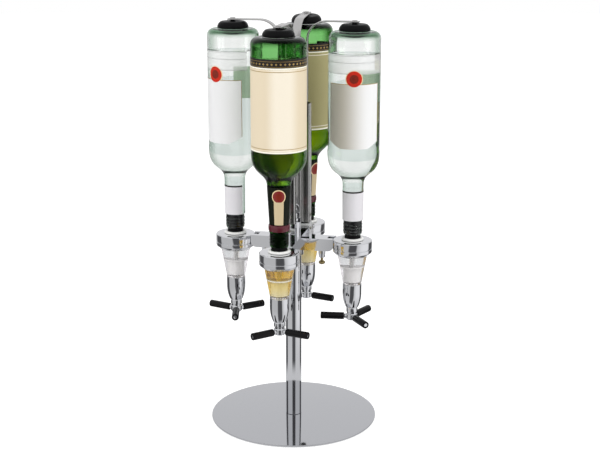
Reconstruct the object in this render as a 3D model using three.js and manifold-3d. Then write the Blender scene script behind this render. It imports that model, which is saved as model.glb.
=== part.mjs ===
// Rotary spirit stand: a round base and a post carry a turning head with four arms.
// Each arm holds a measuring optic with an upside-down bottle and a sprung bottle clamp.
// Millimetres, +Z up, origin at the middle of the underside.
import * as THREE from 'three';
import { mergeVertices } from 'three/addons/utils/BufferGeometryUtils.js';
import Module from 'manifold-3d';

const wasm = await Module();
wasm.setup();

// Clearances and facets
const seatGap = 0.3;
const cutOverrun = 2;
const wideSides = 32;
const bodySides = 16;
const pieceSides = 12;
const smallSides = 8;
const bendSteps = 6;
const curveSteps = 3;

// Base
const baseDiameter = 240;
const plateThickness = 2.2;
const plateEdge = 0.5;
const footPadThickness = 1;
const footPadInset = 6;
const baseScrewHeadRadius = 8;
const baseScrewHeadHeight = 0.8;
const baseScrewLength = 18;

// Post and the spindle that the head turns on
const postDiameter = 23;
const postWall = 1.5;
const postLength = 243.9;
const postPlugLength = 15;
const threadRadius = 3.9;
const spindleRadius = 6;
const spindleFlangeThickness = 2.2;
const spindleTipRadius = 4.7;
const spindleTipLength = 16.4;
const spindleFlangeInset = 0.8;
const bushWall = 1.7;
const bushFlangeThickness = 2;

// Hub of the turning head
const hubRadius = 14.5;
const hubHeight = 50;
const hubSkirtDepth = 6.8;
const hubEdge = 1.2;
const nutFlangeRadius = 10.5;
const nutFlangeHeight = 4.5;
const nutWaistRadius = 6.5;
const nutWaistHeight = 4.4;
const nutBodyRadius = 9;
const nutBodyHeight = 7.4;
const nutDomeRadius = 8.5;
const nutDomeHeight = 9;

// Arms of the head
const opticRadius = 85.5;
const armWidth = 24;
const armSocketLip = 3.9;
const armRise = 10.3;
const armCornerRadius = 8;
const armMouthGap = 0.5;
const tailNotchWidth = 10;
const tailNotchLength = 7;
const pedestalInset = 4;
const thumbScrewTailInset = 8.5;
const thumbBossRadius = 5;
const thumbBossTipRadius = 4.2;
const thumbBossDrop = 12.3;
const thumbShankRadius = 2.6;
const thumbNeckRadius = 1.9;
const thumbNeckLength = 4.2;
const thumbHeadRadius = 4.8;
const thumbHeadHeight = 6;

// Rail: an upright channel with its slot towards the axis
const railInnerFace = 12.4;
const railDepth = 12.2;
const railWall = 1.2;
const railSlot = 8;
const railCorner = 2;
const railLength = 168.7;
const spigotHeight = 16;

// Bottle clamp: a slide block, a bent spring strip and a rubber pad
const stripWidth = 12;
const stripThickness = 1.7;
const stripRadialPlace = 19.6;
const stripBendRadius = 27;
const stripOverhang = 6.5;
const slideBlockHeight = 24;
const slideBlockDrop = 89;
const clampPadRadius = 21.4;
const clampPadHeight = 9.1;
const clampPadRim = 2.5;
const clampPadCrownRadius = 15.5;
const clampStandoff = 12.2;
const padBossRadius = 3.6;
const padStudRadius = 3;
const padStudHeadRadius = 4.2;
const padStudHeadHeight = 1;
const flexedPitch = 5;

// Optic: collar, seat, measuring chamber and valve
const collarRadius = 27.8;
const collarHeight = 22.2;
const collarUpperBand = 10.9;
const collarGrooveWidth = 1.3;
const collarGrooveDepth = 0.8;
const collarChamferDepth = 6;
const collarChamferHeight = 5.2;
const collarShelf = 5.5;
const collarPortRadius = 7.5;
const tailWidth = 12;
const tailHeight = 9;
const tailLength = 24.7;
const tailDrop = 3.3;
const stopperFlangeRadius = 11.2;
const stopperFlangeSink = 4.8;
const stopperFlangeRise = 5;
const stopperTubeRadius = 4;
const stopperLength = 20.8;
const stopperTaper = 0.4;
const seatRingWidth = 4;
const seatRingHeight = 3.1;
const chamberTopRadius = 20.7;
const chamberBottomRadius = 13.1;
const chamberDepth = 41.5;
const chamberTuckGap = 0.6;
const chamberWall = 1.6;
const chamberFloor = 2.5;
const chamberPortRadius = 5.2;
const housingRadius = 13.5;
const housingLength = 34.2;
const housingStraight = 12.7;
const housingTipRadius = 9.4;
const housingWall = 1.6;
const housingRoof = 2.3;
const housingLip = 2.5;

// Plunger, return spring and three-armed lever
const plungerRodRadius = 3;
const plungerHeadRadius = 5.2;
const plungerHeadHeight = 3;
const plungerFlangeRadius = 7.5;
const plungerFlangeThickness = 1.5;
const plungerBaffleRadius = 15.3;
const plungerBaffleThickness = 2;
const plungerSleeveRadius = 8.7;
const plungerSleeveWall = 1.2;
const plungerSleeveLength = 22;
const plungerSealLength = 2.2;
const plungerInletSealRadius = 6.9;
const plungerInletSealDrop = 10;
const springWireRadius = 0.6;
const springMeanRadius = 5.4;
const springTurns = 4;
const springStepsPerTurn = 6;
const springWireSides = 4;
const leverHubRadius = 8;
const leverHubDrop = 19.5;
const leverStemReach = 12;
const leverArmHeight = 4.5;
const leverArms = 3;
const leverRodRadius = 2.6;
const leverReach = 44.6;
const leverSleeveRadius = 5.1;
const leverSleeveStart = 11;
const leverEdge = 0.8;

// Bottles
const bottleHeight = 284;
const bottleWall = 3;
const bottleFloor = 4.5;
const bottleMouthRadius = 10;
const bottlePuntRadius = 19;
const bottlePuntDepth = 4;
const bottleFinishHeight = 20.5;
const clearBottle = {
  bodyRadius: 36.2,
  finishRadius: 13.1,
  neckFootRadius: 14.4,
  neckRootRadius: 14.8,
  neckHeight: 70.5,
  shoulderHeight: 46,
  shoulderFootShare: 0.48,
  shoulderTopShare: 0.74,
  heelRadius: 10,
  ringHeight: 3,
  ringRadius: 14.5,
};
const greenBottle = {
  bodyRadius: 37.5,
  finishRadius: 13,
  neckFootRadius: 13.2,
  neckRootRadius: 16.4,
  neckHeight: 84,
  shoulderHeight: 43,
  shoulderFootShare: 0.42,
  shoulderTopShare: 0.62,
  heelRadius: 11,
  ringHeight: 7,
  ringRadius: 14.3,
};

// The four stations round the head, with lever angles as the levers stand at rest
const stations = [
  { name: 'right', angle: 0, bottle: clearBottle, pitch: 0, leverAngle: 187 },
  { name: 'back', angle: 90, bottle: greenBottle, pitch: flexedPitch, leverAngle: 105 },
  { name: 'left', angle: 180, bottle: clearBottle, pitch: 0, leverAngle: 43 },
  { name: 'front', angle: 270, bottle: greenBottle, pitch: 0, leverAngle: 106 },
];

// Heights, worked up from the floor
const plateBottom = footPadThickness + seatGap;
const plateTop = plateBottom + plateThickness;
const postBottom = plateTop + seatGap;
const postTop = postBottom + postLength;
const spindleFlangeBottom = postTop + seatGap;
const bushBottom = spindleFlangeBottom + spindleFlangeThickness + seatGap;
const hubCeiling = bushBottom + bushFlangeThickness + seatGap;
const hubBottom = hubCeiling - hubSkirtDepth;
const hubTop = hubBottom + hubHeight;
const nutBottom = hubTop + seatGap;
const armBottom = hubBottom + armRise;
const socketBottom = armBottom + armSocketLip;
const tailBottom = socketBottom + seatGap;
const tailTop = tailBottom + tailHeight;
const socketTop = tailTop + seatGap;
const armTop = socketTop + armSocketLip;
const collarTop = tailTop + tailDrop;
const collarBottom = collarTop - collarHeight;
const seatRingBottom = collarTop + seatGap;
const seatRingTop = seatRingBottom + seatRingHeight;
const stopperBottom = collarTop - stopperFlangeSink;
const collarRecessFloor = stopperBottom - seatGap;
const collarShelfBottom = collarRecessFloor - collarShelf;
const chamberTop = collarShelfBottom - seatGap;
const chamberTaperTop = collarBottom - chamberTuckGap;
const chamberBottom = chamberTaperTop - chamberDepth;
const housingTop = chamberBottom - seatGap;
const housingBottom = housingTop - housingLength;
const leverBottom = housingBottom - leverHubDrop;
const leverTop = housingBottom + leverStemReach;
const leverAxisHeight = leverBottom + leverArmHeight;
const stopperFlangeTop = seatRingTop + stopperFlangeRise;
const bottleMouth = stopperFlangeTop + seatGap;
const bottleBase = bottleMouth + bottleHeight;
const clampLine = bottleBase + seatGap + clampStandoff;
const railBottom = hubTop + seatGap;
const railTop = railBottom + railLength;

// Corner radius of a faceted bore whose flats stand at the wanted radius.
const bored = (radius, sides) => radius / Math.cos(Math.PI / sides);

// Places and radii that follow from a fit
const tailEnd = opticRadius - collarRadius - tailLength;
const thumbScrewPlace = tailEnd + thumbScrewTailInset;
const postRadius = postDiameter / 2;
const threadBoreRadius = threadRadius + seatGap;
const bushBoreRadius = bored(spindleRadius + seatGap, smallSides);
const bushRadius = bushBoreRadius + bushWall;
const hubBoreRadius = bushRadius + seatGap;
const spindleFlangeRadius = postRadius - spindleFlangeInset;
const hubSkirtBoreRadius = postRadius + 2 * seatGap;
const collarRecessRadius = stopperFlangeRadius + seatGap;
const chamberSocketRadius = chamberTopRadius + seatGap;
const leverBoreRadius = bored(plungerRodRadius + seatGap, pieceSides);
const leverSinkRadius = bored(plungerHeadRadius + seatGap, pieceSides);
const housingTipBoreRadius = bored(leverHubRadius + seatGap, pieceSides);
const railWidth = stripWidth + 2 * (seatGap + railWall);
const railInside = {
  near: railInnerFace + railWall,
  far: railInnerFace + railDepth - railWall,
  half: railWidth / 2 - railWall,
};

const finishes = {
  chrome: { color: 0xc8cacd, roughness: 0.08, metalness: 1 },
  mirrorPlate: { color: 0xb8b9bd, roughness: 0.05, metalness: 1 },
  springSteel: { color: 0xd2d2d0, roughness: 0.25, metalness: 1 },
  nickelBrass: { color: 0xb9a77c, roughness: 0.3, metalness: 1 },
  blackRubber: { color: 0x111112, roughness: 0.6, metalness: 0 },
  blackFoam: { color: 0x1b1b1c, roughness: 0.95, metalness: 0 },
  whitePlastic: { color: 0xf2f2f0, roughness: 0.4, metalness: 0 },
  clearPlastic: { color: 0xe6e8ea, roughness: 0.1, metalness: 0 },
  clearGlass: { color: 0xd5dedc, roughness: 0.05, metalness: 0 },
  greenGlass: { color: 0x2f5a1c, roughness: 0.05, metalness: 0 },
};

// A closed geometry: shared corners merged, empty faces dropped, faces pointing out.
function closed(geometry) {
  const bare = geometry.clone();
  bare.deleteAttribute('normal');
  bare.deleteAttribute('uv');
  const merged = mergeVertices(bare);
  const corner = merged.getIndex();
  const faces = [];
  const a = new THREE.Vector3();
  const b = new THREE.Vector3();
  const c = new THREE.Vector3();
  let volume = 0;
  for (let i = 0; i < corner.count; i += 3) {
    const [p, q, r] = [corner.getX(i), corner.getX(i + 1), corner.getX(i + 2)];
    if (p === q || q === r || r === p) continue;
    faces.push(p, q, r);
    a.fromBufferAttribute(merged.getAttribute('position'), p);
    b.fromBufferAttribute(merged.getAttribute('position'), q);
    c.fromBufferAttribute(merged.getAttribute('position'), r);
    volume += a.dot(b.cross(c));
  }
  if (volume < 0) {
    for (let i = 0; i < faces.length; i += 3) {
      [faces[i], faces[i + 1]] = [faces[i + 1], faces[i]];
    }
  }
  merged.setIndex(faces);
  return merged;
}

// Manifold solid of a closed geometry.
function solid(geometry) {
  const source = closed(geometry);
  const mesh = new wasm.Mesh({
    numProp: 3,
    vertProperties: Float32Array.from(source.getAttribute('position').array),
    triVerts: Uint32Array.from(source.getIndex().array),
  });
  return new wasm.Manifold(mesh);
}

// Geometry of a manifold solid.
function geometryOf(manifold) {
  const result = manifold.getMesh();
  const geometry = new THREE.BufferGeometry();
  geometry.setAttribute('position', new THREE.BufferAttribute(result.vertProperties, 3));
  geometry.setIndex(new THREE.BufferAttribute(result.triVerts, 1));
  return geometry;
}

// Solid of revolution about Z from [radius, height] pairs.
function turned(outline, sides, sealOutline = false) {
  const points = outline.map(([radius, height]) => new THREE.Vector2(radius, height));
  if (sealOutline) points.push(points[0].clone());
  const geometry = new THREE.LatheGeometry(points, sides);
  geometry.rotateX(Math.PI / 2);
  return geometry;
}

// Tube or ring about Z: an outline that closes on itself.
function turnedRing(outline, sides) {
  return turned(outline, sides, true);
}

// Plain round bar along Z.
function bar(radius, bottom, top, sides) {
  return turned([[0, bottom], [radius, bottom], [radius, top], [0, top]], sides);
}

// Prism with an outline in X and Z, centred on Y.
function sidePrism(outline, width) {
  const shape = new THREE.Shape(outline.map(([x, z]) => new THREE.Vector2(x, z)));
  const geometry = new THREE.ExtrudeGeometry(shape, { depth: width, bevelEnabled: false });
  geometry.rotateX(Math.PI / 2);
  geometry.translate(0, width / 2, 0);
  return geometry;
}

// Prism with an outline in X and Y, standing on bottom.
function uprightPrism(outline, bottom, height) {
  const shape = new THREE.Shape(outline.map(([x, y]) => new THREE.Vector2(x, y)));
  const geometry = new THREE.ExtrudeGeometry(shape, { depth: height, bevelEnabled: false });
  geometry.translate(0, 0, bottom);
  return geometry;
}

// Block between two X places and two heights, centred on Y.
function block(nearX, farX, width, bottom, top) {
  const geometry = new THREE.BoxGeometry(farX - nearX, width, top - bottom);
  geometry.translate((nearX + farX) / 2, 0, (bottom + top) / 2);
  return geometry;
}

// Points of an arc about a centre, from one angle to another in radians.
function arc(centre, radius, from, to, steps) {
  const points = [];
  for (let step = 0; step <= steps; step += 1) {
    const angle = from + ((to - from) * step) / steps;
    points.push([centre[0] + radius * Math.cos(angle), centre[1] + radius * Math.sin(angle)]);
  }
  return points;
}

// Points of a cubic curve, without its first point.
function curve(start, pullStart, pullEnd, end, steps) {
  const path = new THREE.CubicBezierCurve(
    new THREE.Vector2(...start),
    new THREE.Vector2(...pullStart),
    new THREE.Vector2(...pullEnd),
    new THREE.Vector2(...end),
  );
  return path.getPoints(steps).slice(1).map((point) => [point.x, point.y]);
}

// Named mesh with its finish.
function piece(name, geometry, finish) {
  const shape = closed(geometry);
  shape.computeVertexNormals();
  const material = new THREE.MeshStandardMaterial({ ...finish, flatShading: true });
  const mesh = new THREE.Mesh(shape, material);
  mesh.name = name;
  return mesh;
}

function footPad() {
  return bar(baseDiameter / 2 - footPadInset, 0, footPadThickness, wideSides);
}

function basePlate() {
  const rim = baseDiameter / 2;
  const sinkRadius = baseScrewHeadRadius + seatGap;
  const sinkTop = plateBottom + baseScrewHeadHeight + 2 * seatGap;
  return turnedRing([
    [sinkRadius, plateBottom],
    [rim - plateEdge, plateBottom],
    [rim, plateBottom + plateEdge],
    [rim, plateTop - plateEdge],
    [rim - plateEdge, plateTop],
    [threadBoreRadius, plateTop],
    [threadBoreRadius, sinkTop],
    [sinkRadius, sinkTop],
  ], wideSides);
}

function baseScrew() {
  const headBottom = plateBottom + seatGap;
  const headTop = headBottom + baseScrewHeadHeight;
  return turned([
    [0, headBottom],
    [baseScrewHeadRadius, headBottom],
    [baseScrewHeadRadius, headTop],
    [threadRadius, headTop],
    [threadRadius, headBottom + baseScrewLength],
    [0, headBottom + baseScrewLength],
  ], smallSides);
}

function post() {
  const boreRadius = postRadius - postWall;
  return turnedRing([
    [threadBoreRadius, postBottom],
    [postRadius, postBottom],
    [postRadius, postTop],
    [threadBoreRadius, postTop],
    [threadBoreRadius, postTop - postPlugLength],
    [boreRadius, postTop - postPlugLength],
    [boreRadius, postBottom + postPlugLength],
    [threadBoreRadius, postBottom + postPlugLength],
  ], bodySides);
}

function spindle() {
  const flangeTop = spindleFlangeBottom + spindleFlangeThickness;
  const tipTop = nutBottom + spindleTipLength;
  return turned([
    [0, spindleFlangeBottom - postPlugLength],
    [threadRadius, spindleFlangeBottom - postPlugLength],
    [threadRadius, spindleFlangeBottom],
    [spindleFlangeRadius, spindleFlangeBottom],
    [spindleFlangeRadius, flangeTop],
    [spindleRadius, flangeTop],
    [spindleRadius, nutBottom - seatGap],
    [spindleTipRadius, nutBottom - seatGap],
    [spindleTipRadius, tipTop],
    [0, tipTop],
  ], smallSides);
}

function hubBush() {
  const flangeTop = bushBottom + bushFlangeThickness;
  return turnedRing([
    [bushBoreRadius, bushBottom],
    [spindleFlangeRadius, bushBottom],
    [spindleFlangeRadius, flangeTop],
    [bushRadius, flangeTop],
    [bushRadius, hubTop - seatGap],
    [bushBoreRadius, hubTop - seatGap],
  ], smallSides);
}

// One arm of the head along +X, with its socket, pedestal, rail spigot and screw boss.
function addArm(hub, turn) {
  const armEnd = opticRadius - Math.sqrt((collarRadius + armMouthGap) ** 2 - (armWidth / 2) ** 2);
  const armOutline = [
    [0, armBottom],
    ...arc([armEnd - armCornerRadius, armBottom + armCornerRadius], armCornerRadius,
      -Math.PI / 2, 0, curveSteps),
    [armEnd, armTop],
    [0, armTop],
  ];
  const bossBottom = armBottom - thumbBossDrop;
  const boss = turned([
    [0, bossBottom],
    [thumbBossTipRadius, bossBottom],
    [thumbBossRadius, armBottom - thumbBossDrop / 2],
    [thumbBossRadius, armBottom + armSocketLip / 2],
    [0, armBottom + armSocketLip / 2],
  ], smallSides);
  boss.translate(thumbScrewPlace, 0, 0);
  const pedestal = block(pedestalInset, railInnerFace + railDepth + seatGap,
    railWidth + 2 * seatGap, armBottom, hubTop);
  const spigot = block(railInside.near + seatGap, railInside.far - seatGap,
    2 * (railInside.half - seatGap), hubTop - seatGap, hubTop + spigotHeight);
  const mouth = bar(collarRadius + armMouthGap, armBottom - cutOverrun, armTop + cutOverrun,
    bodySides);
  mouth.translate(opticRadius, 0, 0);
  const socket = block(tailEnd - seatGap, armEnd + cutOverrun, tailWidth + 2 * seatGap,
    socketBottom, socketTop);
  const notchStart = opticRadius - collarRadius - armMouthGap - tailNotchLength;
  const notch = block(notchStart, armEnd + cutOverrun, tailNotchWidth,
    socketTop - seatGap, armTop + cutOverrun);
  const screwHole = bar(bored(thumbShankRadius + seatGap, smallSides), bossBottom - cutOverrun,
    socketBottom + seatGap, smallSides);
  screwHole.translate(thumbScrewPlace, 0, 0);
  const joined = [sidePrism(armOutline, armWidth), boss, pedestal, spigot];
  const cuts = [mouth, socket, notch, screwHole];
  let arm = solid(joined[0].rotateZ(turn));
  for (const part of joined.slice(1)) arm = arm.add(solid(part.rotateZ(turn)));
  for (const cut of cuts) arm = arm.subtract(solid(cut.rotateZ(turn)));
  return hub.add(arm);
}

function hub() {
  let body = solid(turned([
    [0, hubBottom],
    [hubRadius - hubEdge, hubBottom],
    [hubRadius, hubBottom + hubEdge],
    [hubRadius, hubTop],
    [0, hubTop],
  ], bodySides));
  for (const station of stations) {
    body = addArm(body, THREE.MathUtils.degToRad(station.angle));
  }
  const skirtBore = bar(hubSkirtBoreRadius, hubBottom - cutOverrun, hubCeiling, bodySides);
  const bore = bar(hubBoreRadius, hubCeiling - cutOverrun, hubTop + cutOverrun, smallSides);
  return geometryOf(body.subtract(solid(skirtBore)).subtract(solid(bore)));
}

function capNut() {
  const bodyBottom = nutBottom + nutFlangeHeight;
  const waistBottom = bodyBottom + nutBodyHeight;
  const domeBottom = waistBottom + nutWaistHeight;
  const boreRadius = spindleTipRadius + seatGap;
  const boreTop = nutBottom + spindleTipLength + seatGap;
  const dome = arc([0, 0], 1, 0, Math.PI / 2, curveSteps)
    .map(([x, z]) => [x * nutDomeRadius, domeBottom + z * nutDomeHeight]);
  return turned([
    [0, boreTop],
    [boreRadius, boreTop],
    [boreRadius, nutBottom],
    [nutFlangeRadius, nutBottom],
    [nutFlangeRadius, bodyBottom],
    [nutBodyRadius, bodyBottom],
    [nutBodyRadius, waistBottom],
    [nutWaistRadius, waistBottom],
    [nutWaistRadius, domeBottom],
    ...dome,
  ], pieceSides);
}

function rail() {
  const near = railInnerFace;
  const far = railInnerFace + railDepth;
  const half = railWidth / 2;
  const slotHalf = railSlot / 2;
  const side = [
    [near, slotHalf],
    [near, half - railCorner],
    [near + railCorner, half],
    [far - railCorner, half],
    [far, half - railCorner],
  ];
  const inside = [
    [railInside.far, railInside.half],
    [railInside.near, railInside.half],
    [railInside.near, slotHalf],
  ];
  const mirrored = (points) => points.map(([x, y]) => [x, -y]).reverse();
  const outline = [...side, ...mirrored(side), ...mirrored(inside), ...inside];
  return uprightPrism(outline, railBottom, railLength);
}

// Where the strip meets the pad, and the strip's height at its bend, for a pitched strip.
function clampPlace(station) {
  const pitch = THREE.MathUtils.degToRad(station.pitch);
  const bendCentre = stripRadialPlace + stripBendRadius;
  const armLength = opticRadius - bendCentre;
  const rimRadius = station.bottle.bodyRadius - station.bottle.heelRadius;
  const padX = bendCentre - stripBendRadius * Math.sin(pitch) + armLength * Math.cos(pitch);
  const nearEdgeX = padX + clampStandoff * Math.sin(pitch) - clampPadRadius * Math.cos(pitch);
  const overRim = Math.max(0, opticRadius - rimRadius - nearEdgeX);
  const padZ = clampLine + clampPadRadius * Math.sin(pitch) - overRim * Math.tan(pitch)
    - clampStandoff * (1 - Math.cos(pitch));
  const bendZ = padZ - stripBendRadius * Math.cos(pitch) - armLength * Math.sin(pitch);
  return { pitch, bendCentre, armLength, padX, padZ, bendZ };
}

function clampArm(station) {
  const { pitch, bendCentre, armLength, padX, padZ, bendZ } = clampPlace(station);
  const blockBottom = railTop - slideBlockDrop;
  const half = stripThickness / 2;
  const reach = armLength + stripOverhang;
  const side = (offset) => {
    const bend = arc([bendCentre, bendZ], stripBendRadius + offset,
      Math.PI, Math.PI / 2 + pitch, bendSteps);
    const last = bend[bend.length - 1];
    const tip = [last[0] + reach * Math.cos(pitch), last[1] + reach * Math.sin(pitch)];
    return [[stripRadialPlace - offset, blockBottom], ...bend, tip];
  };
  const outline = [...side(half), ...side(-half).reverse()];
  const slide = block(railInside.near + seatGap, railInside.far - seatGap,
    2 * (railInside.half - seatGap), blockBottom, blockBottom + slideBlockHeight);
  const hole = bar(bored(padStudRadius + seatGap, smallSides), -cutOverrun, cutOverrun, smallSides);
  hole.rotateY(-pitch);
  hole.translate(padX, 0, padZ);
  const arm = solid(sidePrism(outline, stripWidth)).subtract(solid(hole));
  return geometryOf(arm.add(solid(slide)));
}

// Pad in the strip's own frame, with the strip's middle plane at zero.
function clampPad() {
  const bottom = -clampStandoff;
  const top = bottom + clampPadHeight;
  const underStrip = -stripThickness / 2 - seatGap;
  const overStrip = stripThickness / 2 + seatGap;
  const crown = curve(
    [clampPadRadius, bottom + clampPadRim],
    [clampPadRadius, (bottom + clampPadRim + top) / 2],
    [(clampPadRadius + clampPadCrownRadius) / 2, top],
    [clampPadCrownRadius, top],
    curveSteps - 1,
  );
  return turned([
    [0, bottom],
    [clampPadRadius, bottom],
    [clampPadRadius, bottom + clampPadRim],
    ...crown,
    [padBossRadius, top],
    [padBossRadius, underStrip],
    [padStudRadius, underStrip],
    [padStudRadius, overStrip],
    [padStudHeadRadius, overStrip],
    [padStudRadius, overStrip + padStudHeadHeight],
    [0, overStrip + padStudHeadHeight],
  ], pieceSides);
}

function thumbScrew() {
  const neckTop = armBottom - thumbBossDrop - seatGap;
  const headTop = neckTop - thumbNeckLength;
  const headMiddle = headTop - thumbHeadHeight / 2;
  const dome = arc([0, 0], 1, -Math.PI / 2, 0, curveSteps - 1)
    .map(([x, z]) => [x * thumbHeadRadius, headMiddle + (z * thumbHeadHeight) / 2]);
  return turned([
    ...dome,
    [thumbNeckRadius, headTop],
    [thumbNeckRadius, neckTop],
    [thumbShankRadius, neckTop + seatGap],
    [thumbShankRadius, socketBottom],
    [0, socketBottom],
  ], smallSides);
}

function collar() {
  const grooveTop = collarTop - collarUpperBand;
  const grooveBottom = grooveTop - collarGrooveWidth;
  const chamferTop = collarBottom + collarChamferHeight;
  const ring = turnedRing([
    [chamberSocketRadius, collarBottom],
    [collarRadius - collarChamferDepth, collarBottom],
    [collarRadius, chamferTop],
    [collarRadius, grooveBottom],
    [collarRadius - collarGrooveDepth, grooveBottom],
    [collarRadius - collarGrooveDepth, grooveTop],
    [collarRadius, grooveTop],
    [collarRadius, collarTop],
    [collarRecessRadius, collarTop],
    [collarRecessRadius, collarRecessFloor],
    [collarPortRadius, collarRecessFloor],
    [collarPortRadius, collarShelfBottom],
    [chamberSocketRadius, collarShelfBottom],
  ], bodySides);
  const tailRoot = -(chamberSocketRadius + collarRadius) / 2;
  const tail = block(-collarRadius - tailLength, tailRoot, tailWidth, tailBottom, tailTop);
  return geometryOf(solid(ring).add(solid(tail)));
}

function seatRing() {
  const inner = collarRecessRadius;
  const outer = inner + seatRingWidth;
  return turnedRing([
    [inner, seatRingBottom],
    [outer, seatRingBottom],
    [outer - seatRingHeight / 3, seatRingTop],
    [inner, seatRingTop],
  ], bodySides);
}

function stopper() {
  const plugRadius = bottleMouthRadius - seatGap;
  const plugTop = bottleMouth + stopperLength;
  return turnedRing([
    [stopperTubeRadius, stopperBottom],
    [stopperFlangeRadius, stopperBottom],
    [stopperFlangeRadius, stopperFlangeTop],
    [plugRadius, stopperFlangeTop],
    [plugRadius - stopperTaper, plugTop],
    [stopperTubeRadius, plugTop],
  ], smallSides);
}

function chamber() {
  const floorTop = chamberBottom + chamberFloor;
  return turnedRing([
    [chamberPortRadius, chamberBottom],
    [chamberBottomRadius, chamberBottom],
    [chamberTopRadius, chamberTaperTop],
    [chamberTopRadius, chamberTop],
    [chamberTopRadius - chamberWall, chamberTop],
    [chamberTopRadius - chamberWall, chamberTaperTop],
    [chamberBottomRadius - chamberWall, floorTop],
    [chamberPortRadius, floorTop],
  ], bodySides);
}

function valveHousing() {
  const straightEnd = housingTop - housingStraight;
  const innerRadius = housingRadius - housingWall;
  const lipTop = housingBottom + housingLip;
  const bend = (straightEnd + housingBottom) / 2;
  const taper = (radius, tip, bottom, steps) => curve(
    [radius, straightEnd], [radius, bend], [(radius + tip) / 2, (bend + bottom) / 2],
    [tip, bottom], steps,
  );
  const outside = taper(housingRadius, housingTipRadius, housingBottom, curveSteps).reverse();
  const inside = taper(innerRadius, housingTipBoreRadius, lipTop, curveSteps - 1);
  return turnedRing([
    [housingTipBoreRadius, housingBottom],
    ...outside,
    [housingRadius, straightEnd],
    [housingRadius, housingTop],
    [chamberPortRadius, housingTop],
    [chamberPortRadius, housingTop - housingRoof],
    [innerRadius, housingTop - housingRoof],
    [innerRadius, straightEnd],
    ...inside,
  ], pieceSides);
}

function plunger() {
  const headBottom = leverBottom;
  const headTop = headBottom + plungerHeadHeight;
  const flangeBottom = leverTop + seatGap;
  const flangeTop = flangeBottom + plungerFlangeThickness;
  const sealRadius = chamberPortRadius - seatGap;
  const sealBottom = chamberBottom;
  const sleeveBottom = chamberBottom + chamberFloor + 2 * seatGap;
  const baffleBottom = sleeveBottom + plungerSleeveLength;
  const baffleTop = baffleBottom + plungerBaffleThickness;
  const inletTop = collarShelfBottom - plungerInletSealDrop;
  const inletBottom = inletTop - plungerSealLength;
  return turned([
    [0, headBottom],
    [plungerHeadRadius, headBottom],
    [plungerHeadRadius, headTop],
    [plungerRodRadius, headTop],
    [plungerRodRadius, flangeBottom],
    [plungerFlangeRadius, flangeBottom],
    [plungerFlangeRadius, flangeTop],
    [plungerRodRadius, flangeTop],
    [plungerRodRadius, sealBottom],
    [sealRadius, sealBottom],
    [sealRadius, sealBottom + plungerSealLength],
    [plungerRodRadius, sealBottom + plungerSealLength],
    [plungerRodRadius, baffleBottom - plungerSleeveWall],
    [plungerSleeveRadius - plungerSleeveWall, baffleBottom - plungerSleeveWall],
    [plungerSleeveRadius - plungerSleeveWall, sleeveBottom],
    [plungerSleeveRadius, sleeveBottom],
    [plungerSleeveRadius, baffleBottom],
    [plungerBaffleRadius, baffleBottom],
    [plungerBaffleRadius, baffleTop],
    [plungerRodRadius, baffleTop],
    [plungerRodRadius, inletBottom - plungerSealLength],
    [plungerInletSealRadius, inletBottom],
    [plungerInletSealRadius, inletTop],
    [0, inletTop],
  ], smallSides);
}

// Helical wire between the plunger's flange and the housing's roof.
function valveSpring() {
  const bottom = leverTop + plungerFlangeThickness + 2 * seatGap + springWireRadius;
  const top = housingTop - housingRoof - seatGap - springWireRadius;
  const rings = springTurns * springStepsPerTurn;
  const position = [];
  const index = [];
  for (let ring = 0; ring <= rings; ring += 1) {
    const angle = (2 * Math.PI * ring) / springStepsPerTurn;
    const height = bottom + ((top - bottom) * ring) / rings;
    for (let side = 0; side < springWireSides; side += 1) {
      const turn = (2 * Math.PI * side) / springWireSides;
      const radius = springMeanRadius + springWireRadius * Math.cos(turn);
      position.push(radius * Math.cos(angle), radius * Math.sin(angle),
        height + springWireRadius * Math.sin(turn));
    }
  }
  for (let ring = 0; ring < rings; ring += 1) {
    for (let side = 0; side < springWireSides; side += 1) {
      const next = (side + 1) % springWireSides;
      const a = ring * springWireSides + side;
      const b = ring * springWireSides + next;
      index.push(a, b, a + springWireSides, b, b + springWireSides, a + springWireSides);
    }
  }
  const last = rings * springWireSides;
  for (let side = 2; side < springWireSides; side += 1) {
    index.push(0, side, side - 1, last, last + side - 1, last + side);
  }
  const geometry = new THREE.BufferGeometry();
  geometry.setAttribute('position', new THREE.Float32BufferAttribute(position, 3));
  geometry.setIndex(index);
  return geometry;
}

// Lever: a bored stem with three rods, each in a round grip.
function lever() {
  let body = solid(turnedRing([
    [leverSinkRadius, leverBottom],
    [leverHubRadius - leverEdge, leverBottom],
    [leverHubRadius, leverBottom + leverEdge],
    [leverHubRadius, leverTop],
    [leverBoreRadius, leverTop],
    [leverBoreRadius, leverBottom + plungerHeadHeight + seatGap],
    [leverSinkRadius, leverBottom + plungerHeadHeight + seatGap],
  ], pieceSides));
  const rodStart = (leverHubRadius + leverSinkRadius) / 2;
  for (let arm = 0; arm < leverArms; arm += 1) {
    const rod = turned([
      [0, rodStart],
      [leverRodRadius, rodStart],
      [leverRodRadius, leverSleeveStart],
      [leverSleeveRadius, leverSleeveStart],
      [leverSleeveRadius, leverReach],
      [0, leverReach],
    ], smallSides);
    rod.rotateY(Math.PI / 2);
    rod.translate(0, 0, leverAxisHeight);
    rod.rotateZ((2 * Math.PI * arm) / leverArms);
    body = body.add(solid(rod));
  }
  return geometryOf(body);
}

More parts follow.
